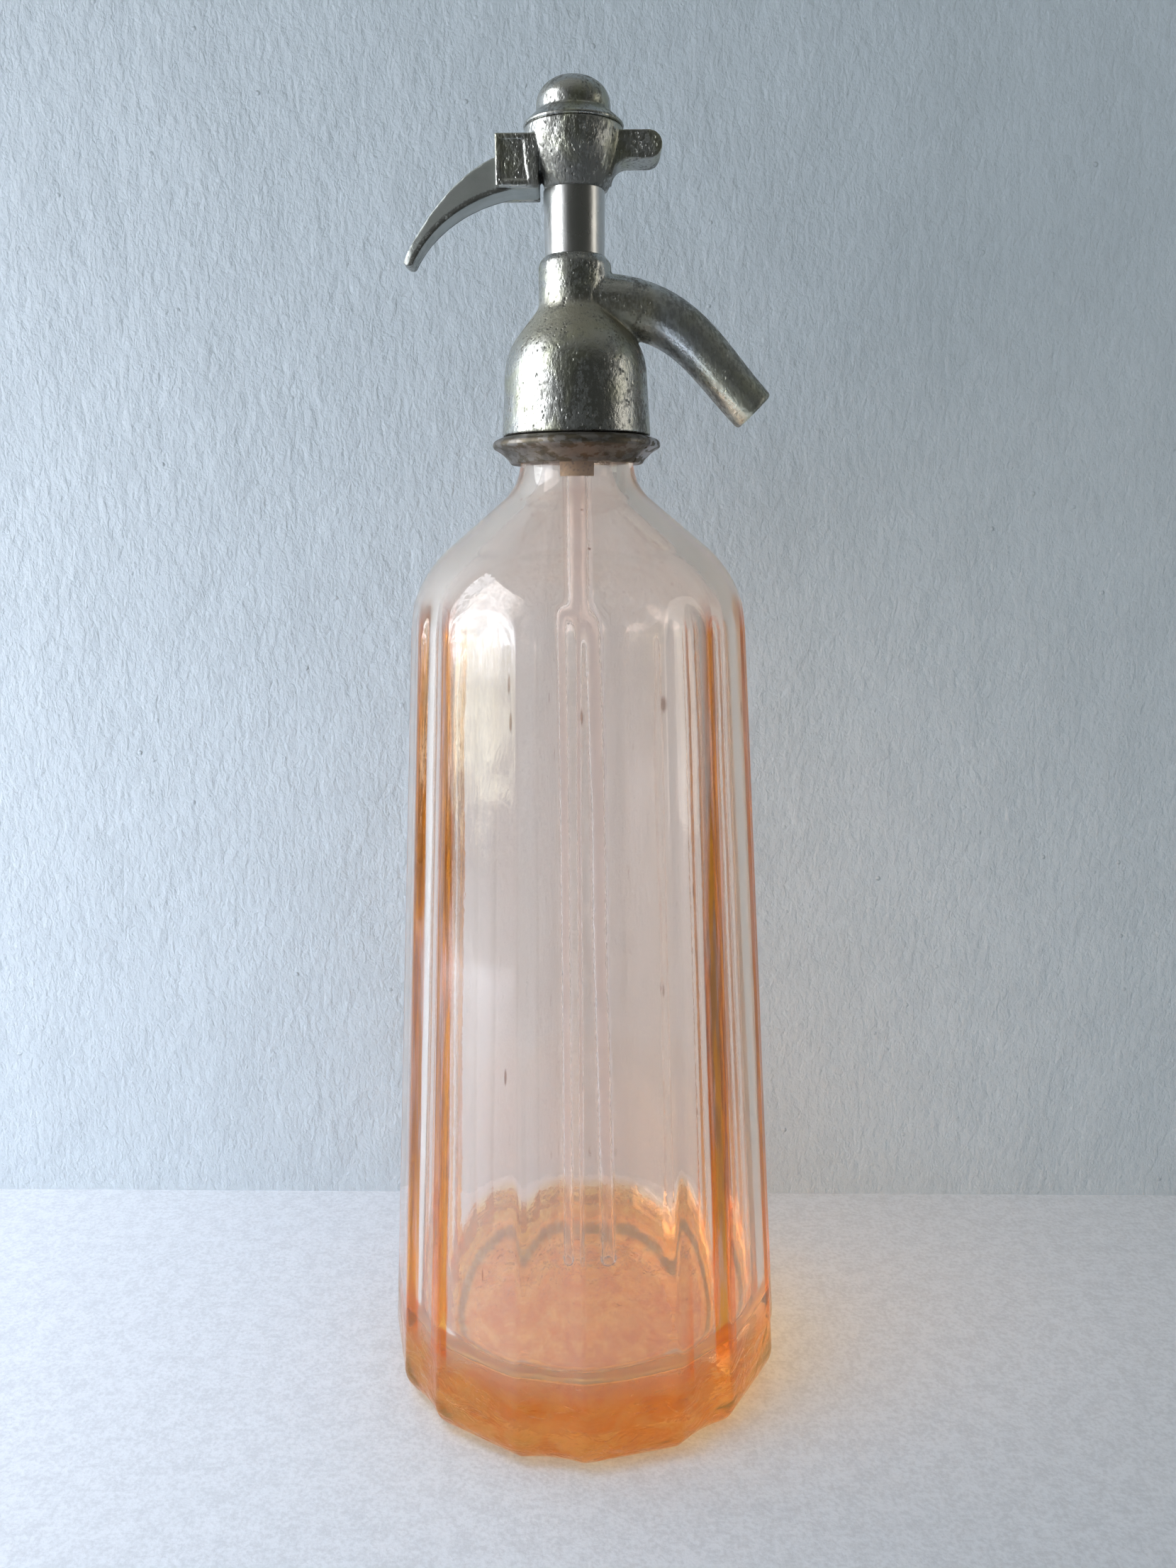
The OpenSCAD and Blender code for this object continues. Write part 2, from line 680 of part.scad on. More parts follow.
module lever_pin() {
    end_y = box_w / 2 - panel_cut - 0.05;
    color("gray")
    translate([-pivot_reach, end_y, pivot_z]) rotate([90, 0, 0])
        cylinder(d = pin_d, h = 2 * end_y);
}

module tube_holder() {
    flange_low = head_z - holder_flange_h;
    color("darkgoldenrod")
    difference() {
        union() {
            translate([0, 0, head_z - 1]) cylinder(r = holder_r, h = holder_h + 1);
            translate([0, 0, holder_z - 1]) cylinder(r = seat_lip_r, h = seat_lip_h + 1);
            translate([0, 0, flange_low]) cylinder(r = holder_flange_r, h = holder_flange_h);
            translate([0, 0, dip_top - socket_h]) cylinder(r = socket_r, h = socket_h + 1.5);
        }
        translate([0, 0, dip_top - socket_h - 1]) cylinder(r = cork_r + fit_gap, h = socket_h + 1.05);
        translate([0, 0, dip_top - 1]) cylinder(r = holder_bore_r, h = holder_z - dip_top + 3);
    }
}

module tube_sleeve() {
    thin = 0.35;
    taper_h = max(1, cork_h - socket_h);
    color("peru")
    difference() {
        union() {
            translate([0, 0, dip_top - cork_h]) cylinder(r1 = cork_r - thin, r2 = cork_r, h = taper_h);
            translate([0, 0, dip_top - cork_h + taper_h]) cylinder(r = cork_r, h = cork_h - taper_h);
        }
        translate([0, 0, dip_top - cork_h - 1]) cylinder(r = dip_r + fit_gap, h = cork_h + 2);
    }
}

module dip_tube() {
    color("lightcyan", 0.6)
    translate([0, 0, dip_z])
    difference() {
        cylinder(r = dip_r, h = dip_top - dip_z);
        translate([0, 0, -1]) cylinder(d = dip_bore, h = dip_top - dip_z + 2);
    }
}

glass_bottle();
collar_half_front();
collar_half_back();
neck_gasket();
head_body();
neck_tube();
lever_housing();
cap();
return_spring();
piston_head();
piston_rod();
valve_cup();
valve_washer();
gland_packing();
gland_washer();
lever();
lever_pin();
tube_holder();
tube_sleeve();
dip_tube();
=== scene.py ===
import json
import math

import bpy
from bpy.props import FloatProperty, FloatVectorProperty, IntProperty, PointerProperty
from mathutils import Matrix, Vector, noise


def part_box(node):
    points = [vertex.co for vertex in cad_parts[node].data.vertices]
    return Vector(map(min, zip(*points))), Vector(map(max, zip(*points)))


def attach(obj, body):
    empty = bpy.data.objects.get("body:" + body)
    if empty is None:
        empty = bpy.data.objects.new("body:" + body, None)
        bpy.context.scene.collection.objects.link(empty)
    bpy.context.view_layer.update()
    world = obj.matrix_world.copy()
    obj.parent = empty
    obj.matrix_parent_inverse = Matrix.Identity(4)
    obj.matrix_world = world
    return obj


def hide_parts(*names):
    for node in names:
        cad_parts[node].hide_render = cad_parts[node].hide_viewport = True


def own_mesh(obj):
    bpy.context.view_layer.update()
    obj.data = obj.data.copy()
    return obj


bl_info = {
    "name": "Soda siphon",
    "version": (1, 0, 0),
    "blender": (4, 5, 0),
    "location": "View3D > Sidebar > Siphon",
    "description": "Dresses a soda siphon: fluted glass, worn castings, a hand lever and its stage",
    "category": "Object",
}

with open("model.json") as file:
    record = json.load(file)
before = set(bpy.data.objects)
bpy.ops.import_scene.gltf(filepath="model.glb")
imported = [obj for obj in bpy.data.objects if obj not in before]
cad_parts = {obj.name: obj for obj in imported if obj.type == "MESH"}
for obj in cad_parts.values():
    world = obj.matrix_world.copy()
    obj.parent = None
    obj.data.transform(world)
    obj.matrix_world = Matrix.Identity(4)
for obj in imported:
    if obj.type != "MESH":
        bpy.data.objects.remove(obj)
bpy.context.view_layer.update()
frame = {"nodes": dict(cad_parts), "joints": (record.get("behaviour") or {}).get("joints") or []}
MM = 0.001


# ---------------------------------------------------------------- modelling helpers

def deselect():
    """Leaves nothing selected, so that the next operator meets only its own piece."""
    if bpy.context.object and bpy.context.object.mode != "OBJECT":
        bpy.ops.object.mode_set(mode="OBJECT")
    bpy.ops.object.select_all(action="DESELECT")


def take(piece):
    """Makes one piece the only selected one, and the active one."""
    deselect()
    piece.select_set(True)
    bpy.context.view_layer.objects.active = piece
    return piece


def apply(piece, kind, **settings):
    """Adds a modifier to a piece and applies it."""
    take(piece)
    bpy.ops.object.modifier_add(type=kind)
    modifier = piece.modifiers[-1]
    for key, value in settings.items():
        setattr(modifier, key, value)
    bpy.ops.object.modifier_apply(modifier=modifier.name)


def arc(centre, radius, start, end, steps):
    """Points of an arc in the plane of radius and height, angles in degrees."""
    turns = [math.radians(start + (end - start) * i / steps) for i in range(steps + 1)]
    return [(centre[0] + radius * math.cos(a), centre[1] + radius * math.sin(a)) for a in turns]


def line(a, b, steps):
    """Evenly spaced points from a to b, without a itself."""
    return [(a[0] + (b[0] - a[0]) * i / steps, a[1] + (b[1] - a[1]) * i / steps)
            for i in range(1, steps + 1)]


def start_turning(name, point, steps):
    """A circle of edges, in edit mode, that the turning goes on from."""
    deselect()
    bpy.ops.mesh.primitive_circle_add(vertices=steps, radius=point[0], location=(0, 0, point[1]))
    bpy.ops.object.transform_apply(location=True, rotation=True, scale=True)
    piece = bpy.context.object
    piece.name = piece.data.name = name
    bpy.ops.object.mode_set(mode="EDIT")
    bpy.ops.mesh.select_all(action="SELECT")
    return piece


def turn_on(points, last):
    """Extrudes the selected ring through the points and resizes it at each."""
    for point in points:
        bpy.ops.mesh.extrude_edges_move(
            TRANSFORM_OT_translate={"value": (0, 0, point[1] - last[1])})
        share = point[0] / last[0]
        bpy.ops.transform.resize(value=(share, share, 1), center_override=(0, 0, point[1]))
        last = point


def end_turning(piece, ring=False):
    """Welds the last ring to the first on a ring, or else closes both poles."""
    if ring:
        bpy.ops.mesh.select_all(action="SELECT")
        bpy.ops.mesh.remove_doubles(threshold=1e-6)
    else:
        bpy.ops.mesh.merge(type="CENTER")
        bpy.ops.mesh.select_all(action="DESELECT")
        bpy.ops.mesh.select_non_manifold()
        bpy.ops.mesh.merge(type="CENTER")
        bpy.ops.mesh.select_all(action="SELECT")
    bpy.ops.mesh.normals_make_consistent(inside=False)
    bpy.ops.object.mode_set(mode="OBJECT")
    bpy.ops.object.shade_smooth()


def turned(name, points, steps=128, ring=False, sharp=35):
    """A piece turned round the bottle's axis from its outline."""
    piece = start_turning(name, points[0], steps)
    turn_on(points[1:] + ([points[0]] if ring else []), points[0])
    end_turning(piece, ring)
    bpy.ops.object.shade_smooth_by_angle(angle=math.radians(sharp))
    return piece


def worn_copy(node, name, voxel, passes):
    """A copy of a CAD solid, welded, remeshed and smoothed until its edges are worn round."""
    source = frame["nodes"][node]
    piece = bpy.data.objects.new(name, source.data.copy())
    bpy.context.collection.objects.link(piece)
    piece.data.name = name
    piece.data.materials.clear()
    take(piece)
    bpy.ops.mesh.customdata_custom_splitnormals_clear()
    bpy.ops.object.mode_set(mode="EDIT")
    bpy.ops.mesh.select_all(action="SELECT")
    bpy.ops.mesh.remove_doubles(threshold=2e-6)
    bpy.ops.object.mode_set(mode="OBJECT")
    apply(piece, "REMESH", mode="VOXEL", voxel_size=voxel * MM, use_smooth_shade=True)
    apply(piece, "SMOOTH", factor=0.5, iterations=passes)
    take(piece)
    bpy.ops.object.shade_smooth()
    return piece


def finish_piece(piece, body, slot, material, *nodes):
    """Gives a piece its finish, the body it moves with and the CAD nodes it stands for."""
    piece.data.materials.clear()
    piece.data.materials.append(material)
    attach(piece, body)
    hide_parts(*nodes)


def dress(material, *nodes):
    """Puts a finish on CAD nodes that are shown as they are."""
    for name in nodes:
        mesh = frame["nodes"][name].data
        mesh.materials.clear()
        mesh.materials.append(material)


# ---------------------------------------------------------------- shader helpers

class Value:
    """A shader socket that plain arithmetic works on."""

    def __init__(self, finish, socket):
        self.finish, self.socket = finish, socket

    def calc(self, operation, *values):
        return self.finish.math(operation, *values)

    def __add__(self, other):
        return self.calc("ADD", self, other)

    __radd__ = __add__

    def __sub__(self, other):
        return self.calc("SUBTRACT", self, other)

    def __rsub__(self, other):
        return self.calc("SUBTRACT", other, self)

    def __mul__(self, other):
        return self.calc("MULTIPLY", self, other)

    __rmul__ = __mul__

    def __truediv__(self, other):
        return self.calc("DIVIDE", self, other)

    def __rtruediv__(self, other):
        return self.calc("DIVIDE", other, self)

    def __pow__(self, other):
        return self.calc("POWER", self, other)


class Nodes:
    """A node tree, emptied and filled again."""

    def __init__(self, tree, output):
        self.tree = tree
        tree.nodes.clear()
        self.output = tree.nodes.new(output)

    def node(self, kind, settings=None, sockets=None, out=0):
        """Adds a node with its settings and the values or links of its sockets."""
        node = self.tree.nodes.new("ShaderNode" + kind)
        for key, value in (settings or {}).items():
            setattr(node, key, value)
        for key, value in (sockets or {}).items():
            if isinstance(value, Value):
                self.tree.links.new(value.socket, node.inputs[key])
            elif hasattr(value, "__len__") and len(value) == 3 and node.inputs[key].type == "RGBA":
                node.inputs[key].default_value = (*value, 1)
            else:
                node.inputs[key].default_value = value
        return Value(self, node.outputs[out])

    def math(self, operation, *values):
        return self.node("Math", {"operation": operation}, dict(enumerate(values)))

    def mix(self, share, a, b):
        """Colour a, turning into colour b with the share."""
        return self.node("Mix", {"data_type": "RGBA"}, {0: share, 6: a, 7: b}, out=2)

    def surface(self, shader):
        self.tree.links.new(shader.socket, self.output.inputs["Surface"])

    def volume(self, shader):
        self.tree.links.new(shader.socket, self.output.inputs["Volume"])


class Finish(Nodes):
    """A material and the nodes that make it."""

    def __init__(self, name):
        self.material = bpy.data.materials.new(name)
        self.material.use_nodes = True
        super().__init__(self.material.node_tree, "ShaderNodeOutputMaterial")
        self.place = self.node("TexCoord", out="Object")

    def axes(self):
        """The three parts of the place on the piece, in metres."""
        x = self.node("SeparateXYZ", None, {"Vector": self.place})
        return [Value(self, socket) for socket in x.socket.node.outputs]

    def stretched(self, stretch):
        """The place on the piece, scaled so that a pattern grows longer along an axis below 1."""
        if stretch == (1, 1, 1):
            return self.place
        return self.node("Mapping", None, {"Vector": self.place, "Scale": stretch})

    def grain(self, size, detail=3.0, rough=0.55, stretch=(1, 1, 1), warp=0.0):
        """Noise whose features are about size mm across, from 0 to 1."""
        return self.node("TexNoise", None, {
            "Vector": self.stretched(stretch), "Scale": 1 / (size * MM), "Detail": detail,
            "Roughness": rough, "Distortion": warp})

    def cells(self, size, stretch=(1, 1, 1)):
        """Distance from scattered points about size mm apart, as a share of size."""
        return self.node("TexVoronoi", {"feature": "F1"}, {
            "Vector": self.stretched(stretch), "Scale": 1 / (size * MM), "Randomness": 1.0})

    def band(self, value, low, high, floor=0.0, top=1.0):
        """A soft step from floor to top as the value goes from low to high."""
        return self.node("MapRange", {"interpolation_type": "SMOOTHSTEP"}, {
            "Value": value, "From Min": low, "From Max": high, "To Min": floor, "To Max": top})

    def bump(self, height, depth, normal=None):
        """A normal from a height of 0 to 1 that stands depth mm high."""
        sockets = {"Strength": 1.0, "Distance": depth * MM, "Height": height}
        if normal is not None:
            sockets["Normal"] = normal
        return self.node("Bump", None, sockets)

    def principled(self, **sockets):
        """Ends the material in one Principled shader, whose sockets are named with underscores."""
        named = {key.replace("_", " "): value for key, value in sockets.items()}
        self.surface(self.node("BsdfPrincipled", None, named))
        return self.material


# ---------------------------------------------------------------- sizes and colours

class BottleSizes(bpy.types.PropertyGroup):
    """Sizes of the glass bottle."""
    height: FloatProperty(name="Height", description="From the table to the rim", unit="LENGTH",
                          default=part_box("glass_bottle")[1].z)
    base_radius: FloatProperty(name="Base radius", description="Radius over the ridges at the foot",
                               unit="LENGTH", default=53.8 * MM)
    lean: FloatProperty(name="Lean", description="Lean of the wall from upright", unit="ROTATION",
                        default=math.radians(3.27))
    neck_radius: FloatProperty(name="Neck radius", description="Outer radius of the neck",
                               unit="LENGTH", default=13.9 * MM)
    wall: FloatProperty(name="Wall", description="Thickness of the glass", unit="LENGTH",
                        default=5.4 * MM)
    floor: FloatProperty(name="Floor", description="Thickness of the glass floor", unit="LENGTH",
                         default=18.8 * MM)
    flutes: IntProperty(name="Flutes", description="Number of narrow flutes", default=8, min=3)
    flute_share: FloatProperty(name="Flute share", description="Share of the girth in the flutes",
                               subtype="FACTOR", default=0.4)
    flute_depth: FloatProperty(name="Flute depth", description="How hollow each flute is",
                               unit="LENGTH", default=1.0 * MM)
    ridge: FloatProperty(name="Ridge softness", description="How far the ridges are rounded",
                         unit="LENGTH", default=0.22 * MM)
    wave: FloatProperty(name="Waviness", description="Unevenness of the inner wall",
                        unit="LENGTH", default=0.22 * MM)


class HeadSizes(bpy.types.PropertyGroup):
    """How finely the castings are worn."""
    voxel: FloatProperty(name="Grain of the head", description="Mesh size, in millimetres",
                         default=0.375)
    wear: IntProperty(name="Wear", description="Smoothing passes on the edges", default=2, min=0)


class SiphonColours(bpy.types.PropertyGroup):
    """Colours of the glass and the metals."""
    cast: FloatVectorProperty(name="Casting", description="Plated casting", subtype="COLOR",
                              default=(0.45, 0.455, 0.435), min=0, max=1)
    lever: FloatVectorProperty(name="Lever", description="Satin metal of the lever",
                               subtype="COLOR", default=(0.46, 0.485, 0.47), min=0, max=1)
    collar: FloatVectorProperty(name="Collar", description="Browned metal of the collar",
                                subtype="COLOR", default=(0.15, 0.125, 0.09), min=0, max=1)
    brass: FloatVectorProperty(name="Brass", description="Turned brass inside the head",
                               subtype="COLOR", default=(0.66, 0.47, 0.2), min=0, max=1)
    patina: FloatVectorProperty(name="Patina", description="Dark film in pits and corners",
                                subtype="COLOR", default=(0.045, 0.042, 0.035), min=0, max=1)
    tarnish: FloatVectorProperty(name="Tarnish", description="Yellow-green bloom on the metal",
                                 subtype="COLOR", default=(0.36, 0.37, 0.24), min=0, max=1)
    glass: FloatVectorProperty(name="Glass", description="Tint that thick glass takes",
                               subtype="COLOR", default=(0.95, 0.6, 0.1), min=0, max=1)
    tint: FloatProperty(name="Depth of tint", description="Absorption for each metre of glass",
                        default=19.0, min=0)
    wall: FloatVectorProperty(name="Backdrop", description="Plaster behind the siphon",
                              subtype="COLOR", default=(0.6, 0.66, 0.71), min=0, max=1)
    table: FloatVectorProperty(name="Table", description="Top that the siphon stands on",
                               subtype="COLOR", default=(0.75, 0.775, 0.82), min=0, max=1)


# ---------------------------------------------------------------- finishes

PALE_FILM = (1.0, 0.96, 0.955)


def glass(f, tint, density, ior, clearness, film, relief, rough=0.0, glow=(0.0, 0.0, 0.0)):
    """Glass with a film on its faces, which deepens in colour with its thickness."""
    # Where glow is given, it is a painted glow through the emission colour, for light that the
    # glass gathers
    body = f.node("BsdfPrincipled", None, {
        "Base Color": film, "Roughness": rough, "IOR": ior, "Transmission Weight": clearness,
        "Normal": relief, "Emission Color": glow, "Emission Strength": 1.0})
    shadow_tint = (0.98, 0.97, 0.965)
    shadow = f.node("BsdfTransparent", None, {"Color": shadow_tint})
    casts = f.node("LightPath", out="Is Shadow Ray")
    f.surface(f.node("MixShader", None, {0: casts, 1: body, 2: shadow}))
    f.volume(f.node("VolumeAbsorption", None, {"Color": tint, "Density": density}))
    return f.material


def drawn_glass_finish(tint, density):
    """Thin drawn tube: pale and even."""
    f = Finish("drawn_glass")
    waves = f.bump(f.grain(26, 1.0, 0.4, (1, 1, 0.45)), 0.05)
    return glass(f, tint, density, ior=1.3, clearness=0.98, film=PALE_FILM, relief=waves)


def ridge_mask(f, streaks, flutes, panel):
    """Where a pressed ridge of the bottle turns aside from the viewer, from 0 to 1."""
    x, y, z = f.axes()
    pitch = 2 * math.pi / flutes
    panel_side, flute_side, step = (0.064, 0.05), (0.094, 0.078), 0.01
    turned_aside, shoulder, foot = (0.31, 0.37), (213 * MM, 202 * MM), (14 * MM, 24 * MM)
    wander = (streaks - 0.5) * 0.03
    at = f.math("FLOORED_MODULO", f.math("ARCTAN2", y, x) + math.pi / 2, pitch)
    to_panel_edge = f.math("ABSOLUTE", at - panel)
    in_panel = f.math("MINIMUM", to_panel_edge, at) + wander
    in_flute = f.math("MINIMUM", to_panel_edge, pitch - at) + wander
    ridge = f.math("MAXIMUM", f.band(in_panel, *panel_side),
                   f.band(in_flute, *flute_side) * f.band(at, panel, panel + step))
    outward = f.node("CombineXYZ", None, {"X": x, "Y": y, "Z": 0.0})
    outward = f.node("VectorMath", {"operation": "NORMALIZE"}, {0: outward})
    aslant = f.node("LayerWeight", None, {"Blend": 0.5, "Normal": outward}, out="Facing")
    front = 1 - f.node("NewGeometry", out="Backfacing")
    along = f.band(z, *shoulder) * f.band(z, *foot)
    return ridge * front * f.band(aslant, *turned_aside) * along


def pressed_glass_finish(tint, density, flutes, panel):
    """The bottle's glass: amber gathers in the heavy foot, and the glass's own amber is painted on
    its ridges where they turn aside from the viewer, for light that runs along them.

    Ridges and foot have a painted glow for the light that they gather, and the low ridges a painted
    brighter amber. A few brown scores lie in the surface, the foot is mottled, and it stands on a
    ground dull underside.
    """
    f = Finish("pressed_glass")
    x, y, z = f.axes()
    # The second amber is a painted caustic: ridges below about 75 mm are painted brighter, for
    # light gathered there
    amber, painted_caustic_amber = (0.78, 0.17, 0.004), (0.95, 0.27, 0.004)
    brown_thread, brown_score = (0.36, 0.09, 0.012), (0.26, 0.09, 0.04)
    foot_amber, foot_vein = (1.0, 0.74, 0.19), (0.86, 0.44, 0.05)
    # The two glows are painted light: the low ridges and the foot glow for the light that they
    # gather
    dark, painted_ridge_glow, painted_foot_glow = (0.0, 0.0, 0.0), (0.05, 0.016, 0.0005), (0.012, 0.004, 0.0002)
    foot = f.band(z, 26 * MM, 17 * MM)
    low = f.band(z, 75 * MM, 35 * MM)
    underside = f.band(z, 1.2 * MM, 0.5 * MM)
    side_of_foot = f.band(z, 0.5 * MM, 4 * MM, 0.2, 1.0)

    streaks = f.grain(3.2, 3.0, 0.6, (1, 1, 0.05))
    threads = f.grain(1.3, 3.0, 0.6, (1, 1, 0.03))
    # Painted light: the glass's own amber shows on the ridges only where they turn aside from the
    # viewer, standing in for light that runs along the ridge glass
    ridges = ridge_mask(f, streaks, flutes, panel) * f.band(streaks, 0.3, 0.5, 0.7, 1.0)
    ridge_painted_amber = f.mix(f.band(threads, 0.42, 0.58), amber, brown_thread)
    # Lower down, the ridges' painted amber turns into the brighter painted caustic amber
    film = f.mix(ridges, PALE_FILM, f.mix(low * 0.8, ridge_painted_amber, painted_caustic_amber))
    scores = f.band(f.cells(8, (1, 1, 0.16)), 0.06, 0.03)
    veins = f.band(f.grain(9, 4.0, 0.66, (1, 1, 1.8), 0.8), 0.4, 0.6)
    film = f.mix(foot, f.mix(scores * 0.8, film, brown_score), f.mix(veins, foot_amber, foot_vein))
    # Painted glow on the lower ridges and on the foot
    glow = f.mix(foot, f.mix(ridges * low, dark, painted_ridge_glow), painted_foot_glow)

    waves = f.bump(f.grain(26, 1.0, 0.4, (1, 1, 0.45)), 0.25)
    wrinkles = f.bump(f.grain(2.6, 3.0, 0.6, (1, 1, 0.5), 1.2), 0.014, waves)
    mottle = f.grain(7, 3.0, 0.55, (1, 1, 1.6), 0.6)
    relief = f.bump(mottle * foot * side_of_foot, 0.9, wrinkles)
    return glass(f, tint, density, ior=1.5, clearness=0.91, film=film, relief=relief,
                 rough=underside * 0.42, glow=glow)


def cast_finish(name, colour, patina, tarnish, pit=1.0, dull=0.0, head=False, bowl=False):
    """Old plated casting: pitted skin, pits with a dark film, and a dull bloom.

    The head has its own film along the spout and on its slope; the housing has painted shade under
    its bowl.
    """
    f = Finish(name)
    x, y, z = f.axes()
    skin = f.grain(2.0, 3.0, 0.55, (1, 1, 0.45), 0.5)
    peel = f.grain(0.8, 3.0, 0.62, (1, 1, 0.6))
    blots = f.grain(6.5, 4.0, 0.64, (1, 1, 0.8), 0.6)
    pits = f.band(f.cells(1.25, (1, 1, 0.8)), 0.08, 0.3, 1.0, 0.0) * f.band(blots, 0.4, 0.58)
    specks = f.band(f.cells(1.9, (1, 1, 0.7)), 0.12, 0.2, 1.0, 0.0) * f.band(peel, 0.42, 0.55)
    film = f.band(blots * 0.6 + peel * 0.4, 0.5, 0.62)
    bloom = f.band(f.grain(13, 3.0, 0.55, (1, 1, 1), 0.8), 0.46, 0.68, 0.0, 0.55)
    dark = f.math("MAXIMUM", film * 0.72, f.math("MAXIMUM", pits * 0.85, specks * 0.7))
    metal_colour = f.mix(bloom, colour, tarnish)
    if bowl:
        # Painted shade under the housing's bowl, between its box and its finger stub
        dark = f.math("MAXIMUM", dark, bowl_painted_shade(f, blots * 0.5 + peel * 0.5) * 0.72)
    if head:
        slope_bronze, slope_dull = (0.43, 0.4, 0.29), 0.16
        slope_foot, slope_top = (266 * MM, 273 * MM), (282 * MM, 276 * MM)
        on_spout = f.band(x, 17 * MM, 22 * MM)
        cover, streak = spout_film(f, on_spout, skin, blots)
        sand = f.band(peel * 0.6 + skin * 0.4, 0.36, 0.6, 0.35, 1.0)
        dark = f.math("MAXIMUM", dark * (1 - on_spout * 0.5), cover * sand)
        metal_colour = f.mix(on_spout * (1 - cover) * 0.85, metal_colour, streak)
        slope = f.band(z, *slope_foot) * f.band(z, *slope_top) * (1 - on_spout)
        metal_colour = f.mix(slope * 0.6, metal_colour, slope_bronze)
        dull = slope * slope_dull
    base = f.mix(dark, metal_colour, patina)
    rough = f.math("MINIMUM", 0.2 + peel * 0.12 + dark * 0.26 + bloom * 0.1 + dull, 0.75)
    relief = f.bump(skin, 0.15 * pit, f.bump(peel, 0.1 * pit))
    relief = f.bump(1 - pits, 0.09 * pit, relief)
    return f.principled(Base_Color=base, Metallic=1 - dark * 0.4, Roughness=rough, Normal=relief)


def bowl_painted_shade(f, patches):
    """Painted shade, mottled, under the bowl of the housing, between its box and its finger stub.
    """
    x, y, z = f.axes()
    below, left, right = (314 * MM, 309 * MM), (-11 * MM, -9 * MM), (11 * MM, 9 * MM)
    inside = f.band(z, *below) * f.band(x, *left) * f.band(x, *right)
    return inside * f.band(patches, 0.36, 0.52)


def spout_film(f, on_spout, skin, blots):
    """Dark film above and below the spout, and the colour of the paler streak between."""
    x, y, z = f.axes()
    across_x, across_z = 0.719, 0.695
    upper_edge, lower_edge = (205.6 * MM, 208.4 * MM), (203.9 * MM, 202.6 * MM)
    blue_end, yellow_end = (0.86, 0.9, 0.93), (0.92, 0.92, 0.76)
    across = x * across_x + z * across_z
    upper = on_spout * f.band(across + (skin - 0.5) * 3 * MM, *upper_edge)
    lower = on_spout * f.band(across + (blots - 0.5) * 4 * MM, *lower_edge)
    cover = f.math("MAXIMUM", upper * 0.74, lower * 0.7)
    streak = f.mix(f.band(x + (blots - 0.5) * 9 * MM, 25 * MM, 33 * MM), blue_end, yellow_end)
    return cover, streak


def tube_finish(colour, patina):
    """Smooth plating with faint drawn lines and a few dark specks."""
    f = Finish("worn_plating")
    drawn = f.grain(0.7, 3.0, 0.6, (1, 1, 0.05))
    specks = f.band(f.cells(2.4), 0.05, 0.12, 1.0, 0.0) * f.band(f.grain(6), 0.5, 0.62)
    cloud = f.grain(9, 3.0, 0.5, (1, 1, 0.4))
    clouded = (0.34, 0.34, 0.31)
    base = f.mix(specks * 0.8, f.mix(cloud * 0.35, colour, clouded), patina)
    return f.principled(
        Base_Color=base, Metallic=1.0, Roughness=0.22 + cloud * 0.14 + specks * 0.3,
        Normal=f.bump(drawn, 0.014, f.bump(f.grain(3.5, 2.0), 0.06)))


def satin_finish(name, colour, patina):
    """Rubbed satin metal, with a thin dark line along the lower edges of the lever's sides."""
    f = Finish(name)
    x, y, z = f.axes()
    fine = f.grain(0.35, 2.0, 0.6)
    cloud = f.grain(6, 4.0, 0.6, (0.6, 1, 1))
    specks = f.grain(0.8, 4.0, 0.68)
    pits = f.band(f.cells(1.7), 0.04, 0.17, 1.0, 0.0) * f.band(f.grain(4.5, 3.0), 0.54, 0.64)
    bow_x, bow_z, bow_radius = -10.2 * MM, 271.3 * MM, 32.6 * MM
    side_at_box, box_x, taper = 5 * MM, -18 * MM, 23
    above_bow = f.math("SQRT", (x - bow_x) ** 2.0 + (z - bow_z) ** 2.0) - bow_radius
    past_side = f.math("ABSOLUTE", y) - (x - box_x) / taper - side_at_box
    edge = f.band(above_bow + (specks - 0.5) * 0.8 * MM, 1.15 * MM, 0.75 * MM)
    edge = edge * f.band(past_side, -1.1 * MM, -0.5 * MM) * f.band(x, -13 * MM, -16 * MM)
    edge = edge * f.band(specks, 0.34, 0.46, 0.55, 1.0)
    tip = f.band(x + (specks - 0.5) * 4 * MM, -34 * MM, -38 * MM) * f.band(specks, 0.42, 0.56)
    dark = f.math("MAXIMUM", pits * 0.85, f.math("MAXIMUM", edge * 0.9, tip * 0.45))
    clouded = (0.31, 0.335, 0.31)
    base = f.mix(dark, f.mix(f.band(cloud, 0.35, 0.7, 0.0, 0.6), colour, clouded), patina)
    return f.principled(
        Base_Color=base, Metallic=1 - dark * 0.3, Roughness=0.36 + cloud * 0.16 + dark * 0.25,
        Normal=f.bump(1 - dark, 0.07, f.bump(fine, 0.012, f.bump(cloud, 0.12))))


def collar_finish(name, colour, patina, bare, worn):
    """Browned, greasy metal, scraped bare over a share that is given by worn."""
    f = Finish(name)
    cloud = f.grain(5, 4.0, 0.6, (1, 1, 1.4), 0.5)
    skin = f.grain(0.9, 3.0, 0.6)
    film = f.band(cloud, 0.44, 0.7, 0.2, 0.7)
    scraped = f.band(f.grain(3.2, 3.0, 0.6, (1, 1, 2)), 0.45, 0.55, 0.0, worn)
    base = f.mix(film * (1 - scraped * 0.6), f.mix(scraped, colour, bare), patina)
    return f.principled(
        Base_Color=base, Metallic=1 - film * 0.4, Roughness=0.36 + film * 0.2 + skin * 0.1,
        Normal=f.bump(skin, 0.06, f.bump(cloud, 0.12)))


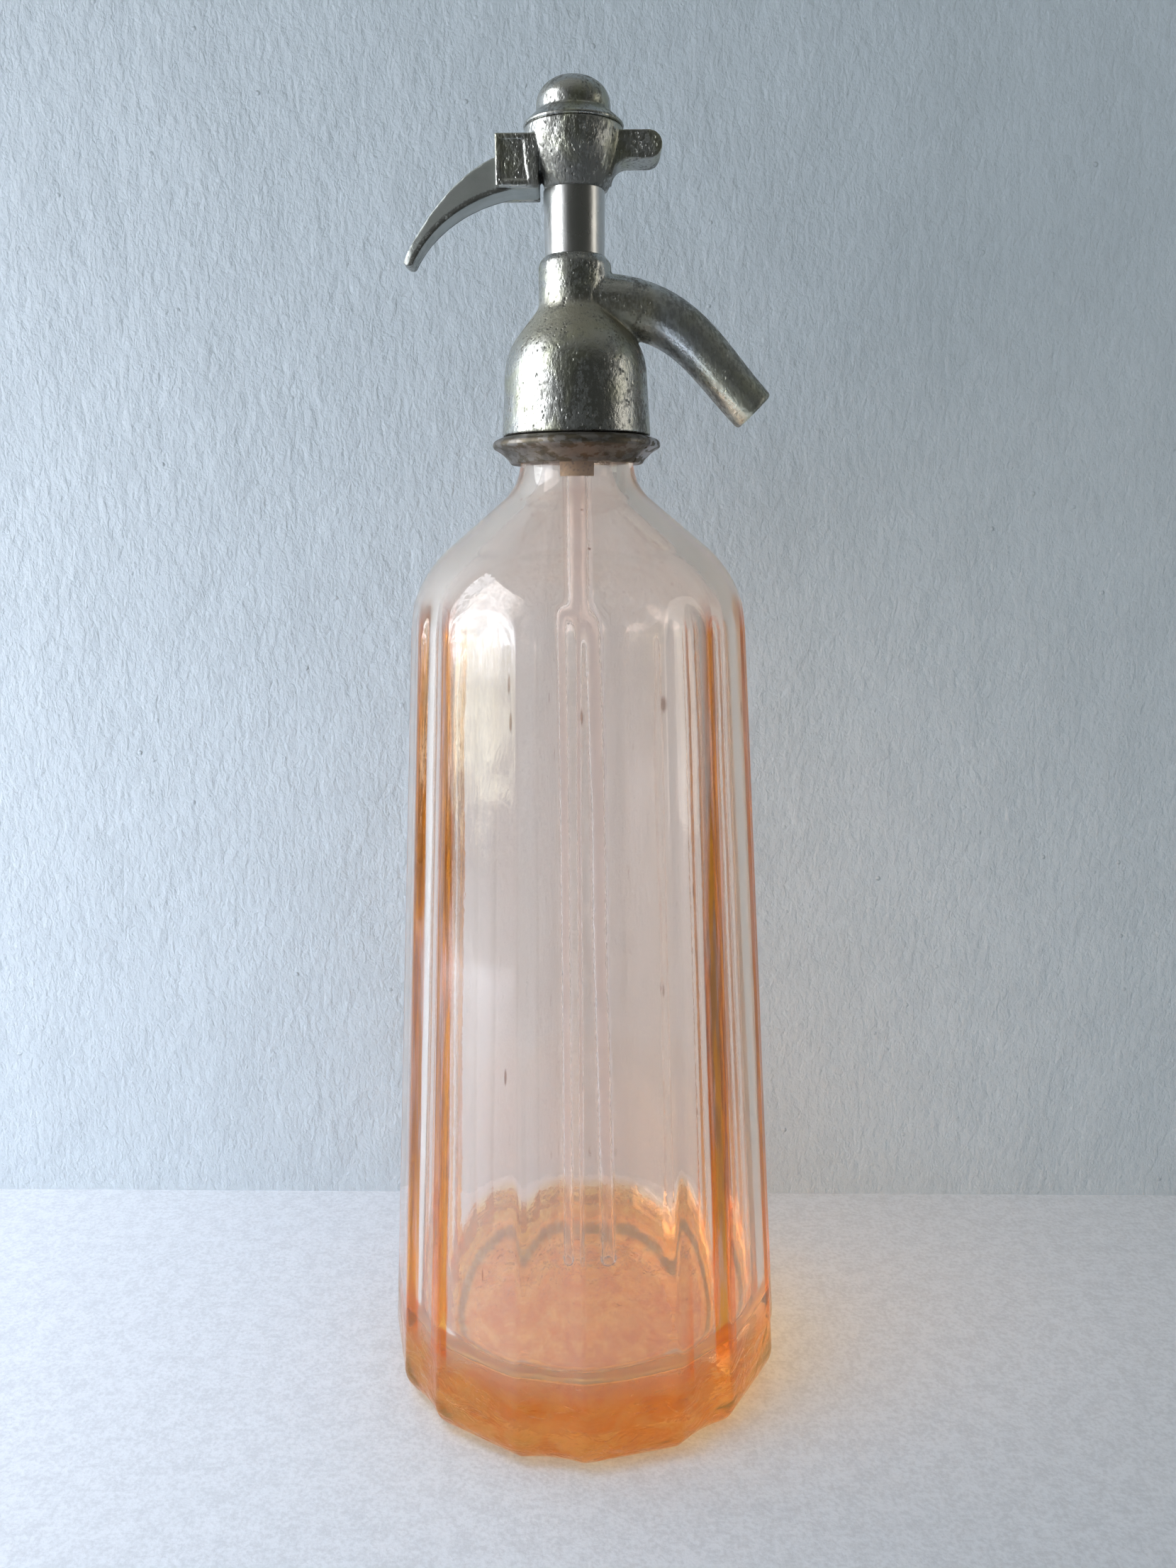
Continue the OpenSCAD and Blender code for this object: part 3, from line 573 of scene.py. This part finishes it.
def brass_finish(name, colour):
    """Turned brass: fine rings from the tool, browned in places."""
    f = Finish(name)
    rings = f.grain(0.5, 2.0, 0.5, (0.08, 0.08, 1))
    cloud = f.grain(4, 3.0, 0.6)
    browned = (0.26, 0.16, 0.07)
    base = f.mix(f.band(cloud, 0.4, 0.7, 0.0, 0.7), colour, browned)
    return f.principled(Base_Color=base, Metallic=1.0, Roughness=0.24 + cloud * 0.2,
                        Normal=f.bump(rings, 0.012))


def wire_finish(name):
    """Drawn spring wire, slightly browned."""
    f = Finish(name)
    cloud = f.grain(1.6, 3.0)
    bright, browned = (0.52, 0.52, 0.51), (0.2, 0.14, 0.09)
    base = f.mix(f.band(cloud, 0.42, 0.7, 0.0, 0.6), bright, browned)
    return f.principled(Base_Color=base, Metallic=1.0, Roughness=0.28 + cloud * 0.2,
                        Normal=f.bump(f.grain(0.3), 0.008))


def soft_finish(name, pale, deep, size, rough, depth):
    """Rubber, leather or cork: a mottled matt body with its own grain."""
    f = Finish(name)
    mottle = f.grain(size, 4.0, 0.65)
    flecks = f.band(f.cells(size * 0.8), 0.1, 0.4, 1.0, 0.0)
    base = f.mix(f.band(mottle * 0.7 + flecks * 0.3, 0.3, 0.65), pale, deep)
    return f.principled(Base_Color=base, Roughness=rough + mottle * 0.15,
                        Normal=f.bump(mottle, depth))


# ---------------------------------------------------------------- pieces

class SIPHON_OT_bottle(bpy.types.Operator):
    """Model the fluted glass bottle"""
    bl_idname = "siphon.bottle"
    bl_label = "Glass bottle"

    girth_steps = 360
    shoulder_lean, shoulder_round, throat_round = 50, 30 * MM, 12 * MM
    neck_height, rim_height, rim_lip = 19.4 * MM, 5 * MM, 1.7 * MM
    foot_round, floor_round = 9 * MM, 10 * MM
    punt, punt_height, pole = 38 * MM, 2.5 * MM, 0.4 * MM

    def execute(self, context):
        s, colours = context.scene.siphon_bottle, context.scene.siphon_colours
        throat, shoulder = self.rounds(s)
        outside = self.outer_outline(s, throat, shoulder)
        piece = start_turning("bottle_glass", outside[0], self.girth_steps)
        turn_on(outside[1:], outside[0])
        bpy.ops.object.mode_set(mode="OBJECT")
        self.press(piece, s)
        bpy.ops.object.mode_set(mode="EDIT")
        turn_on(self.inner_outline(s, throat, shoulder, outside[-1]), outside[-1])
        end_turning(piece)
        self.unsettle(piece, s, shoulder)
        panel = (1 - s.flute_share) * 2 * math.pi / s.flutes
        material = pressed_glass_finish(colours.glass, colours.tint, s.flutes, panel)
        finish_piece(piece, "siphon", "bottle_glass", material, "glass_bottle")
        return {"FINISHED"}

    def cone(self, s, z):
        """Radius of the leaning wall over its ridges at a height."""
        return s.base_radius - math.tan(s.lean) * z

    def rounds(self, s):
        """Centres of the throat's arc and of the shoulder's, which meet in one slope."""
        lean, turn = math.tan(s.lean), math.radians(self.shoulder_lean)
        run = math.tan(turn)
        throat = (s.neck_radius + self.throat_round, s.height - self.neck_height)
        low = (throat[0] - self.throat_round * math.cos(turn),
               throat[1] - self.throat_round * math.sin(turn))
        shoulder_z = (self.shoulder_round * (math.cos(s.lean) - math.cos(turn)
                      + lean * math.sin(s.lean) - run * math.sin(turn))
                      - s.base_radius + low[0] + run * low[1]) / (run - lean)
        shoulder = (s.base_radius - lean * (shoulder_z + self.shoulder_round * math.sin(s.lean))
                    - self.shoulder_round * math.cos(s.lean), shoulder_z)
        return throat, shoulder

    def outer_outline(self, s, throat, shoulder):
        """From the middle of the hollow underside over the foot to the top of the throat."""
        ball = (self.punt ** 2 + self.punt_height ** 2) / (2 * self.punt_height)
        under = [(r, self.punt_height - ball + math.sqrt(ball * ball - r * r))
                 for r in (self.punt * k / 6 for k in range(1, 6))]
        under = [(self.pole, self.punt_height)] + under + [(self.punt, 0.0)]
        foot = [(self.cone(s, z) - self.foot_round * (1 - math.cos(a)), z) for a, z in (
            (math.radians(a), self.foot_round * (1 - math.sin(math.radians(a))))
            for a in range(90, -1, -9))]
        wall_top = (shoulder[0] + self.shoulder_round * math.cos(s.lean),
                    shoulder[1] + self.shoulder_round * math.sin(s.lean))
        return (under + line(under[-1], foot[0], 2) + foot[1:] + line(foot[-1], wall_top, 30)
                + arc(shoulder, self.shoulder_round, math.degrees(s.lean), self.shoulder_lean,
                      34)[1:]
                + arc(throat, self.throat_round, 180 + self.shoulder_lean, 180, 12))

    def inner_outline(self, s, throat, shoulder, start):
        """On from the throat, over the rim and down the inner wall to the middle of the floor."""
        under_rim, over_rim, in_rim = 1.2 * MM, 1.6 * MM, 0.8 * MM
        slope, bore = math.degrees(s.lean), s.neck_radius - s.wall
        rim, rim_z = s.neck_radius + self.rim_lip, s.height - self.rim_height
        inner = self.cone(s, s.floor) - s.wall / math.cos(s.lean)
        corner = (inner - self.floor_round, s.floor + self.floor_round)
        side = (corner[0] + self.floor_round * math.cos(s.lean),
                corner[1] + self.floor_round * math.sin(s.lean))
        side_top = (shoulder[0] + (self.shoulder_round - s.wall) * math.cos(s.lean),
                    shoulder[1] + (self.shoulder_round - s.wall) * math.sin(s.lean))
        return (line(start, (s.neck_radius, rim_z), 5)
                + arc((rim - under_rim, rim_z + under_rim), under_rim, -90, 0, 5)
                + arc((rim - over_rim, s.height - over_rim), over_rim, 0, 90, 6)
                + arc((bore + in_rim, s.height - in_rim), in_rim, 90, 180, 4)
                + line((bore, s.height - in_rim), (bore, throat[1]), 6)
                + arc(throat, self.throat_round + s.wall, 180, 180 + self.shoulder_lean, 12)[1:]
                + arc(shoulder, self.shoulder_round - s.wall, self.shoulder_lean, slope, 24)
                + line(side_top, side, 34)
                + arc(corner, self.floor_round, slope, -90, 12)[1:]
                + line((corner[0], s.floor), (self.pole, s.floor), 7))

    def press(self, piece, s):
        """Presses the flat panels and hollow flutes into the turned outside."""
        pitch = 2 * math.pi / s.flutes
        flute = s.flute_share * pitch
        panel = pitch - flute
        underside_reach, underside_height, on_cone = 43 * MM, 3 * MM, 0.02 * MM
        for v in piece.data.vertices:
            x, y, z = v.co
            radius = math.hypot(x, y)
            if radius < underside_reach and z < underside_height:
                continue
            at = (math.atan2(y, x) + math.pi / 2) % pitch
            full = radius if z < self.foot_round else self.cone(s, z)
            faces = [full * math.cos(panel / 2) / math.cos(at - middle)
                     for middle in (panel / 2, panel / 2 - pitch, panel / 2 + pitch)]
            for middle in (panel + flute / 2, panel + flute / 2 - pitch):
                hollow = s.flute_depth * (1 - (2 * (at - middle) / flute) ** 2)
                faces.append(full * math.cos(flute / 2) / math.cos(at - middle) - hollow)
            least = min(faces + [radius])
            parts = sum(math.exp((least - r) / s.ridge) for r in faces)
            if radius < full - on_cone:
                parts += math.exp((least - radius) / s.ridge)
            share = min(least - s.ridge * math.log(parts), radius) / radius
            v.co = (x * share, y * share, z)

    def unsettle(self, piece, s, shoulder):
        """Makes the inner wall as uneven as blown glass is."""
        pole, neck, hair, reach = 2 * MM, 24 * MM, 0.1 * MM, 8 * MM
        wall_in, shoulder_in, under_shoulder = 0.2 * MM, 0.3 * MM, 4.1 * MM
        (slow_across, slow_up), (quick_across, quick_up), quick_share = (55, 24), (150, 70), 0.3
        for v in piece.data.vertices:
            x, y, z = v.co
            radius = math.hypot(x, y)
            if radius < pole or z > s.height - neck or z < s.floor - hair:
                continue
            if radius > self.cone(s, z) - s.wall / math.cos(s.lean) + wall_in:
                continue
            from_shoulder = math.hypot(radius - shoulder[0], z - shoulder[1])
            if (z > shoulder[1] - under_shoulder
                    and from_shoulder > self.shoulder_round - s.wall + shoulder_in):
                continue
            slow = noise.noise(Vector((x * slow_across, y * slow_across, z * slow_up + 3)))
            quick = noise.noise(Vector((x * quick_across, y * quick_across, z * quick_up)))
            fade = min(1, (z - s.floor) / reach + 0.3)
            share = 1 + fade * s.wave * (slow + quick_share * quick) / radius
            v.co = (x * share, y * share, z)


class SIPHON_OT_dip_tube(bpy.types.Operator):
    """Model the glass dip tube and finish the cork sleeve round it"""
    bl_idname = "siphon.dip_tube"
    bl_label = "Dip tube"

    def execute(self, context):
        low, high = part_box("dip_tube")
        r, bore, z0, z1 = high.x, 2.1 * MM, low.z, high.z
        outer_melt, inner_melt = 0.5 * MM, 0.4 * MM
        outline = (arc((r - outer_melt, z0 + outer_melt), outer_melt, -90, 0, 4)
                   + line((r, z0 + outer_melt), (r, z1), 24)
                   + [(bore, z1)] + line((bore, z1), (bore, z0 + inner_melt), 24)
                   + arc((bore + inner_melt, z0 + inner_melt), inner_melt, 180, 270, 3)[1:])
        piece = turned("dip_tube_glass", outline, 64, ring=True)
        held, drift = z1 - 34 * MM, 3.0 * MM
        for v in piece.data.vertices:
            v.co.x += drift * max(0, (held - v.co.z) / (held - z0))
        tint, density = (0.93, 0.86, 0.72), 6.0
        finish_piece(piece, "siphon", "tube_glass", drawn_glass_finish(tint, density), "dip_tube")
        pale, deep = (0.32, 0.21, 0.1), (0.12, 0.07, 0.035)
        dress(soft_finish("cork", pale, deep, size=1.1, rough=0.6, depth=0.08), "tube_sleeve")
        return {"FINISHED"}


class SIPHON_OT_head(bpy.types.Operator):
    """Model the cast head with its spout, and finish the smooth tube above it"""
    bl_idname = "siphon.head"
    bl_label = "Head and neck tube"

    def execute(self, context):
        h, colours = context.scene.siphon_head, context.scene.siphon_colours
        casting = worn_copy("head_body", "head_casting", h.voxel, h.wear)
        metal = cast_finish("head_metal", colours.cast, colours.patina, colours.tarnish,
                            head=True)
        finish_piece(casting, "siphon", "cast_metal", metal, "head_body")
        plating = (0.6, 0.6, 0.59)
        dress(tube_finish(plating, colours.patina), "neck_tube")
        return {"FINISHED"}


class SIPHON_OT_housing(bpy.types.Operator):
    """Model the lever housing and its domed cap"""
    bl_idname = "siphon.housing"
    bl_label = "Lever housing and cap"

    def execute(self, context):
        h, colours = context.scene.siphon_head, context.scene.siphon_colours
        housing_voxel, cap_voxel, cap_wear = 0.26, 0.24, 3
        housing = worn_copy("lever_housing", "housing_casting", housing_voxel, h.wear)
        metal = cast_finish("housing_metal", colours.cast, colours.patina, colours.tarnish,
                            pit=2.0, dull=0.04, bowl=True)
        finish_piece(housing, "siphon", "cast_metal", metal, "lever_housing")
        cap = worn_copy("cap", "cap_casting", cap_voxel, cap_wear)
        metal = cast_finish("cap_metal", colours.cast, colours.patina, colours.tarnish, pit=0.6)
        finish_piece(cap, "siphon", "cast_metal", metal, "cap")
        return {"FINISHED"}


class SIPHON_OT_lever(bpy.types.Operator):
    """Model the bowed hand lever and finish its pin"""
    bl_idname = "siphon.lever"
    bl_label = "Hand lever"

    def execute(self, context):
        h, colours = context.scene.siphon_head, context.scene.siphon_colours
        voxel, more_wear = 0.22, 2
        lever = worn_copy("lever", "hand_lever_bar", voxel, h.wear + more_wear)
        metal = satin_finish("lever_metal", colours.lever, colours.patina)
        finish_piece(lever, "hand_lever", "lever_metal", metal, "lever")
        self.pin(bpy.data.materials["housing_metal"])
        return {"FINISHED"}

    def pin(self, metal):
        """A cross pin whose ends are spread in the cheeks and lie flush with them."""
        low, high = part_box("lever_pin")
        proud, pole, head_height = 0.02 * MM, 0.3 * MM, 1.3 * MM
        middle, radius, end = (low + high) / 2, (high.x - low.x) / 2, high.y + proud
        spread, head = 2.0 * MM, end - head_height
        outline = [(pole, -end), (spread, -end), (spread, -head), (radius, -head),
                   (radius, 0.0), (radius, head), (spread, head), (spread, end), (pole, end)]
        pin = turned("cross_pin", outline, 40)
        pin.data.transform(Matrix.Translation(middle) @ Matrix.Rotation(math.pi / 2, 4, "X"))
        finish_piece(pin, "siphon", "cast_metal", metal, "lever_pin")


class SIPHON_OT_collar(bpy.types.Operator):
    """Model the two halves of the split collar"""
    bl_idname = "siphon.collar"
    bl_label = "Split collar"

    def execute(self, context):
        colours = context.scene.siphon_colours
        bare, voxel, wear = (0.56, 0.55, 0.58), 0.26, 3
        for node, name, worn in (("collar_half_front", "collar_front", 0.25),
                                 ("collar_half_back", "collar_back", 0.9)):
            piece = worn_copy(node, name, voxel, wear)
            metal = collar_finish(name + "_metal", colours.collar, colours.patina, bare, worn)
            finish_piece(piece, "siphon", "collar_metal", metal, node)
        return {"FINISHED"}


class SIPHON_OT_valve(bpy.types.Operator):
    """Model the return spring and finish the valve and the gland inside the head"""
    bl_idname = "siphon.valve"
    bl_label = "Valve and spring"

    def execute(self, context):
        colours = context.scene.siphon_colours
        dress(brass_finish("turned_brass", colours.brass),
              "piston_head", "piston_rod", "valve_cup", "gland_washer", "tube_holder")
        self.spring(wire_finish("spring_wire"))
        red_rubber, black_rubber, leather = (
            ((0.34, 0.17, 0.11), (0.2, 0.09, 0.06)),
            ((0.06, 0.058, 0.055), (0.025, 0.025, 0.025)),
            ((0.34, 0.2, 0.11), (0.16, 0.08, 0.04)))
        dress(soft_finish("gasket", *red_rubber, size=1.5, rough=0.62, depth=0.05), "neck_gasket")
        dress(soft_finish("washer", *black_rubber, size=1.0, rough=0.55, depth=0.04),
              "valve_washer")
        dress(soft_finish("packing", *leather, size=1.2, rough=0.6, depth=0.1), "gland_packing")
        return {"FINISHED"}

    def spring(self, metal):
        """A wire coil in the spring's place, from its bottom to its top."""
        low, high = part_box("return_spring")
        wire, turns, steps = 1.0 * MM, 4.5, 144
        deselect()
        bpy.ops.mesh.primitive_circle_add(
            vertices=12, radius=wire / 2, location=(high.x - wire / 2, 0, low.z + wire / 2),
            rotation=(math.pi / 2, 0, 0))
        bpy.ops.object.transform_apply(location=True, rotation=True, scale=True)
        coil = bpy.context.object
        coil.name = coil.data.name = "spring_coil"
        apply(coil, "SCREW", angle=turns * 2 * math.pi, screw_offset=high.z - low.z - wire,
              steps=steps, render_steps=steps)
        bpy.ops.object.mode_set(mode="EDIT")
        bpy.ops.mesh.select_all(action="SELECT")
        bpy.ops.mesh.fill_holes(sides=0)
        bpy.ops.mesh.normals_make_consistent(inside=False)
        bpy.ops.object.mode_set(mode="OBJECT")
        bpy.ops.object.shade_smooth_by_angle(angle=math.radians(35))
        finish_piece(coil, "siphon", "spring_steel", metal, "return_spring")
        lift = next(j["range_m"][1] for j in frame["joints"] if j["name"] == "piston_slide")
        1 - lift / (high.z - low.z)
        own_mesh(coil)


# ---------------------------------------------------------------- stage

class SIPHON_OT_stage(bpy.types.Operator):
    """Set the table, the backdrop, the window light and the camera"""
    bl_idname = "siphon.stage"
    bl_label = "Stage"

    def execute(self, context):
        colours = context.scene.siphon_colours
        self.ground(colours)
        self.backdrop(colours)
        self.lights()
        self.world()
        self.camera(context.scene)
        context.scene.view_settings.view_transform = "Standard"
        light_paths = context.scene.cycles
        light_paths.max_bounces, light_paths.transmission_bounces = 18, 16
        light_paths.glossy_bounces = 10
        return {"FINISHED"}

    def ground(self, colours):
        """The paper-white table top, which metal sees fade into the room toward the viewer."""
        shaded, room = 0.85, (0.08, 0.08, 0.08)
        deselect()
        bpy.ops.mesh.primitive_plane_add(size=6, location=(0, 0, 0))
        table = bpy.context.object
        table.name = "table_top"
        f = Finish("table_paper")
        fibre = f.grain(1.3, 4.0, 0.65)
        cloud = f.grain(5, 4.0, 0.6)
        base = f.mix(f.band(fibre * 0.6 + cloud * 0.4, 0.4, 0.62), colours.table,
                     tuple(c * shaded for c in colours.table))
        x, y, z = f.axes()
        mirrored = f.node("LightPath", out="Is Glossy Ray") * f.band(y, -0.22, -0.5)
        base = f.mix(mirrored, base, room)
        f.principled(Base_Color=base, Roughness=0.72, Normal=f.bump(fibre, 0.16))
        table.data.materials.append(f.material)

    def backdrop(self, colours):
        """A roughly plastered wall that is clear from behind."""
        distance, turn, width, height = 0.079, math.radians(-1.5), 4, 2
        shaded, white = 0.92, (1.0, 1.0, 1.0)
        deselect()
        bpy.ops.mesh.primitive_plane_add(size=1, location=(0, 0, 0))
        wall = bpy.context.object
        wall.name = "backdrop"
        wall.data.transform(Matrix.Translation((0, distance, height / 2))
                            @ Matrix.Rotation(turn, 4, "Z") @ Matrix.Rotation(math.pi / 2, 4, "X")
                            @ Matrix.Diagonal((width, height, 1, 1)))
        f = Finish("plaster")
        strokes = f.grain(2.4, 4.0, 0.6, (1.0, 1.0, 0.5), 0.3)
        hills = f.grain(24, 3.0, 0.55, (1, 1, 0.7))
        grit = f.grain(0.8, 2.0, 0.5)
        crumbs = f.band(f.cells(9), 0.03, 0.1, 1.0, 0.0) * f.band(f.grain(30), 0.5, 0.6)
        base = f.mix(f.band(strokes * 0.6 + hills * 0.4, 0.35, 0.68), colours.wall,
                     tuple(c * shaded for c in colours.wall))
        relief = f.bump(grit, 0.2, f.bump(strokes, 0.9, f.bump(hills, 1.8)))
        relief = f.bump(crumbs, 0.4, relief)
        body = f.node("BsdfPrincipled", None, {
            "Base Color": base, "Roughness": 0.6, "Normal": relief})
        clear = f.node("BsdfTransparent", None, {"Color": white})
        behind = f.node("NewGeometry", out="Backfacing")
        f.surface(f.node("MixShader", None, {0: behind, 1: body, 2: clear}))
        wall.data.materials.append(f.material)

    def lamp(self, name, place, aim, size, power, colour, spread=180, shine=False):
        """A soft lamp: it either lights the matt surfaces or is mirrored in the shiny ones."""
        deselect()
        bpy.ops.object.light_add(type="AREA", location=place)
        lamp = bpy.context.object
        lamp.name = name
        lamp.rotation_euler = (Vector(aim) - Vector(place)).to_track_quat("-Z", "Y").to_euler()
        lamp.data.shape = "RECTANGLE"
        lamp.data.size, lamp.data.size_y = size
        lamp.data.energy = power
        lamp.data.color = colour
        lamp.data.spread = math.radians(spread)
        lamp.visible_diffuse = not shine
        lamp.visible_glossy = lamp.visible_transmission = shine

    def pane(self, name, place, turn, size, pattern):
        """A glowing sheet that only shiny and clear surfaces see."""
        deselect()
        bpy.ops.mesh.primitive_plane_add(size=1)
        pane = bpy.context.object
        pane.name = name
        pane.data.transform(Matrix.Translation(place) @ Matrix.Rotation(
            math.radians(turn), 4, "Y") @ Matrix.Diagonal((*size, 1, 1)))
        f = Finish(name + "_glow")
        f.surface(f.node("Emission", None, pattern(f)))
        pane.data.materials.append(f.material)
        pane.visible_camera = pane.visible_diffuse = False

    def sky_and_garden(self, f):
        """Sky above, sunlit leaves below, dim toward the room."""
        x, y, z = f.axes()
        leaves = f.band(f.grain(17, 5.0, 0.68, (1, 1, 0.42), 0.6), 0.44, 0.56)
        twigs = f.band(f.grain(46, 5.0, 0.7, (1, 1, 0.8), 1.4), 0.5, 0.54)
        sky = f.mix(twigs * 0.8, (0.93, 0.955, 1.0), (0.2, 0.22, 0.21))
        garden = f.mix(leaves, (0.27, 0.27, 0.21), (0.07, 0.075, 0.05))
        view = f.mix(f.band(z + (leaves - 0.5) * 50 * MM, 185 * MM, 235 * MM), garden, sky)
        near = f.band(y, -0.62, -0.45, 0.07, 1.0) * f.band(z, 0.42, 0.24, 0.42, 1.0)
        sill = f.band(z + (twigs - leaves) * 40 * MM, 50 * MM, 115 * MM)
        return {"Color": f.mix(near * sill, (0.0, 0.0, 0.0), view), "Strength": 18.0}

    def pale_ceiling(self, f):
        """A ceiling that is pale toward the window and the wall."""
        x, y, z = f.axes()
        fade = f.band(y, -1.25, 0.3) * f.band(x, 0.9, -0.6, 0.4, 1.0)
        return {"Color": f.mix(fade, (0.07, 0.07, 0.06), (0.55, 0.57, 0.54)), "Strength": 0.8}

    def lights(self):
        """Daylight from a window on the left, and what the glass and the metal mirror."""
        self.pane("window_left", place=(-0.68, -0.5, 0.54), turn=90, size=(1.04, 1.14),
                  pattern=self.sky_and_garden)
        self.pane("ceiling", place=(0, -0.35, 0.95), turn=180, size=(2.4, 1.9),
                  pattern=self.pale_ceiling)
        self.lamp("window_right", place=(1.0, -0.16, 0.3), aim=(0, 0, 0.17), size=(0.3, 0.8),
                  power=1.3, colour=(1.0, 0.95, 0.86), shine=True)
        self.lamp("low_daylight", place=(-0.5, -0.15, 0.08), aim=(0, 0.08, 0.08),
                  size=(0.4, 0.2), power=1.42, colour=(0.96, 0.98, 1.07))
        self.lamp("table_daylight", place=(-0.35, -0.2, 0.8), aim=(-0.35, -0.1, 0),
                  size=(0.3, 0.3), power=0.78, colour=(0.9, 0.98, 1.12), spread=70)
        self.lamp("room_daylight", place=(-0.4, -1.2, 0.7), aim=(0, 0, 0.1), size=(0.8, 0.8),
                  power=0.8, colour=(0.6, 0.9, 1.1))

    def world(self):
        """The room round the stage, as the camera, the matt, the shiny and the clear see it."""
        matt, seen, shiny, through = (
            (0.46, 0.49, 0.49), (0.55, 0.6, 0.64), (0.052, 0.055, 0.05), (0.24, 0.19, 0.16))
        world = bpy.data.worlds.new("soft_room")
        bpy.context.scene.world = world
        world.use_nodes = True
        room = Nodes(world.node_tree, "ShaderNodeOutputWorld")
        colour = matt
        for ray, other in (("Is Camera Ray", seen), ("Is Glossy Ray", shiny),
                           ("Is Transmission Ray", through)):
            colour = room.mix(room.node("LightPath", out=ray), colour, other)
        room.surface(room.node("Background", None, {"Color": colour}))

    def camera(self, scene):
        """The photograph's own view: in front, a little above and tilted down."""
        photo_height, focal_length, film = 2212, 1716, 36
        tilt_down, roll = math.radians(11.5), math.radians(-0.478)
        deselect()
        bpy.ops.object.camera_add(location=(0.0021, -0.309, 0.2245))
        camera = bpy.context.object
        camera.name = "camera"
        camera.rotation_euler = (Matrix.Rotation(math.pi / 2 - tilt_down, 3, "X")
                                 @ Matrix.Rotation(roll, 3, "Z")).to_euler()
        camera.data.sensor_width = film
        camera.data.lens = focal_length / photo_height * film
        camera.data.clip_start = 0.01
        scene.camera = camera


# ---------------------------------------------------------------- add-on

class SIPHON_PT_panel(bpy.types.Panel):
    """Lists the pieces of the siphon"""
    bl_idname = "SIPHON_PT_panel"
    bl_label = "Soda siphon"
    bl_space_type = "VIEW_3D"
    bl_region_type = "UI"
    bl_category = "Siphon"

    def draw(self, context):
        for group in ("siphon_bottle", "siphon_head", "siphon_colours"):
            values = getattr(context.scene, group)
            box = self.layout.box()
            for key in values.__annotations__:
                box.prop(values, key)
        for operator in OPERATORS:
            self.layout.operator(operator.bl_idname)


OPERATORS = (SIPHON_OT_bottle, SIPHON_OT_dip_tube, SIPHON_OT_head, SIPHON_OT_housing,
             SIPHON_OT_lever, SIPHON_OT_collar, SIPHON_OT_valve, SIPHON_OT_stage)
GROUPS = {"siphon_bottle": BottleSizes, "siphon_head": HeadSizes, "siphon_colours": SiphonColours}


def register():
    for cls in (*GROUPS.values(), *OPERATORS, SIPHON_PT_panel):
        bpy.utils.register_class(cls)
    for name, group in GROUPS.items():
        setattr(bpy.types.Scene, name, PointerProperty(type=group))


def unregister():
    for name in GROUPS:
        delattr(bpy.types.Scene, name)
    for cls in reversed((*GROUPS.values(), *OPERATORS, SIPHON_PT_panel)):
        bpy.utils.unregister_class(cls)


def main():
    register()
    bpy.ops.siphon.bottle()
    bpy.ops.siphon.dip_tube()
    bpy.ops.siphon.head()
    bpy.ops.siphon.housing()
    bpy.ops.siphon.lever()
    bpy.ops.siphon.collar()
    bpy.ops.siphon.valve()
    bpy.ops.siphon.stage()


if __name__ == "__main__":
    main()
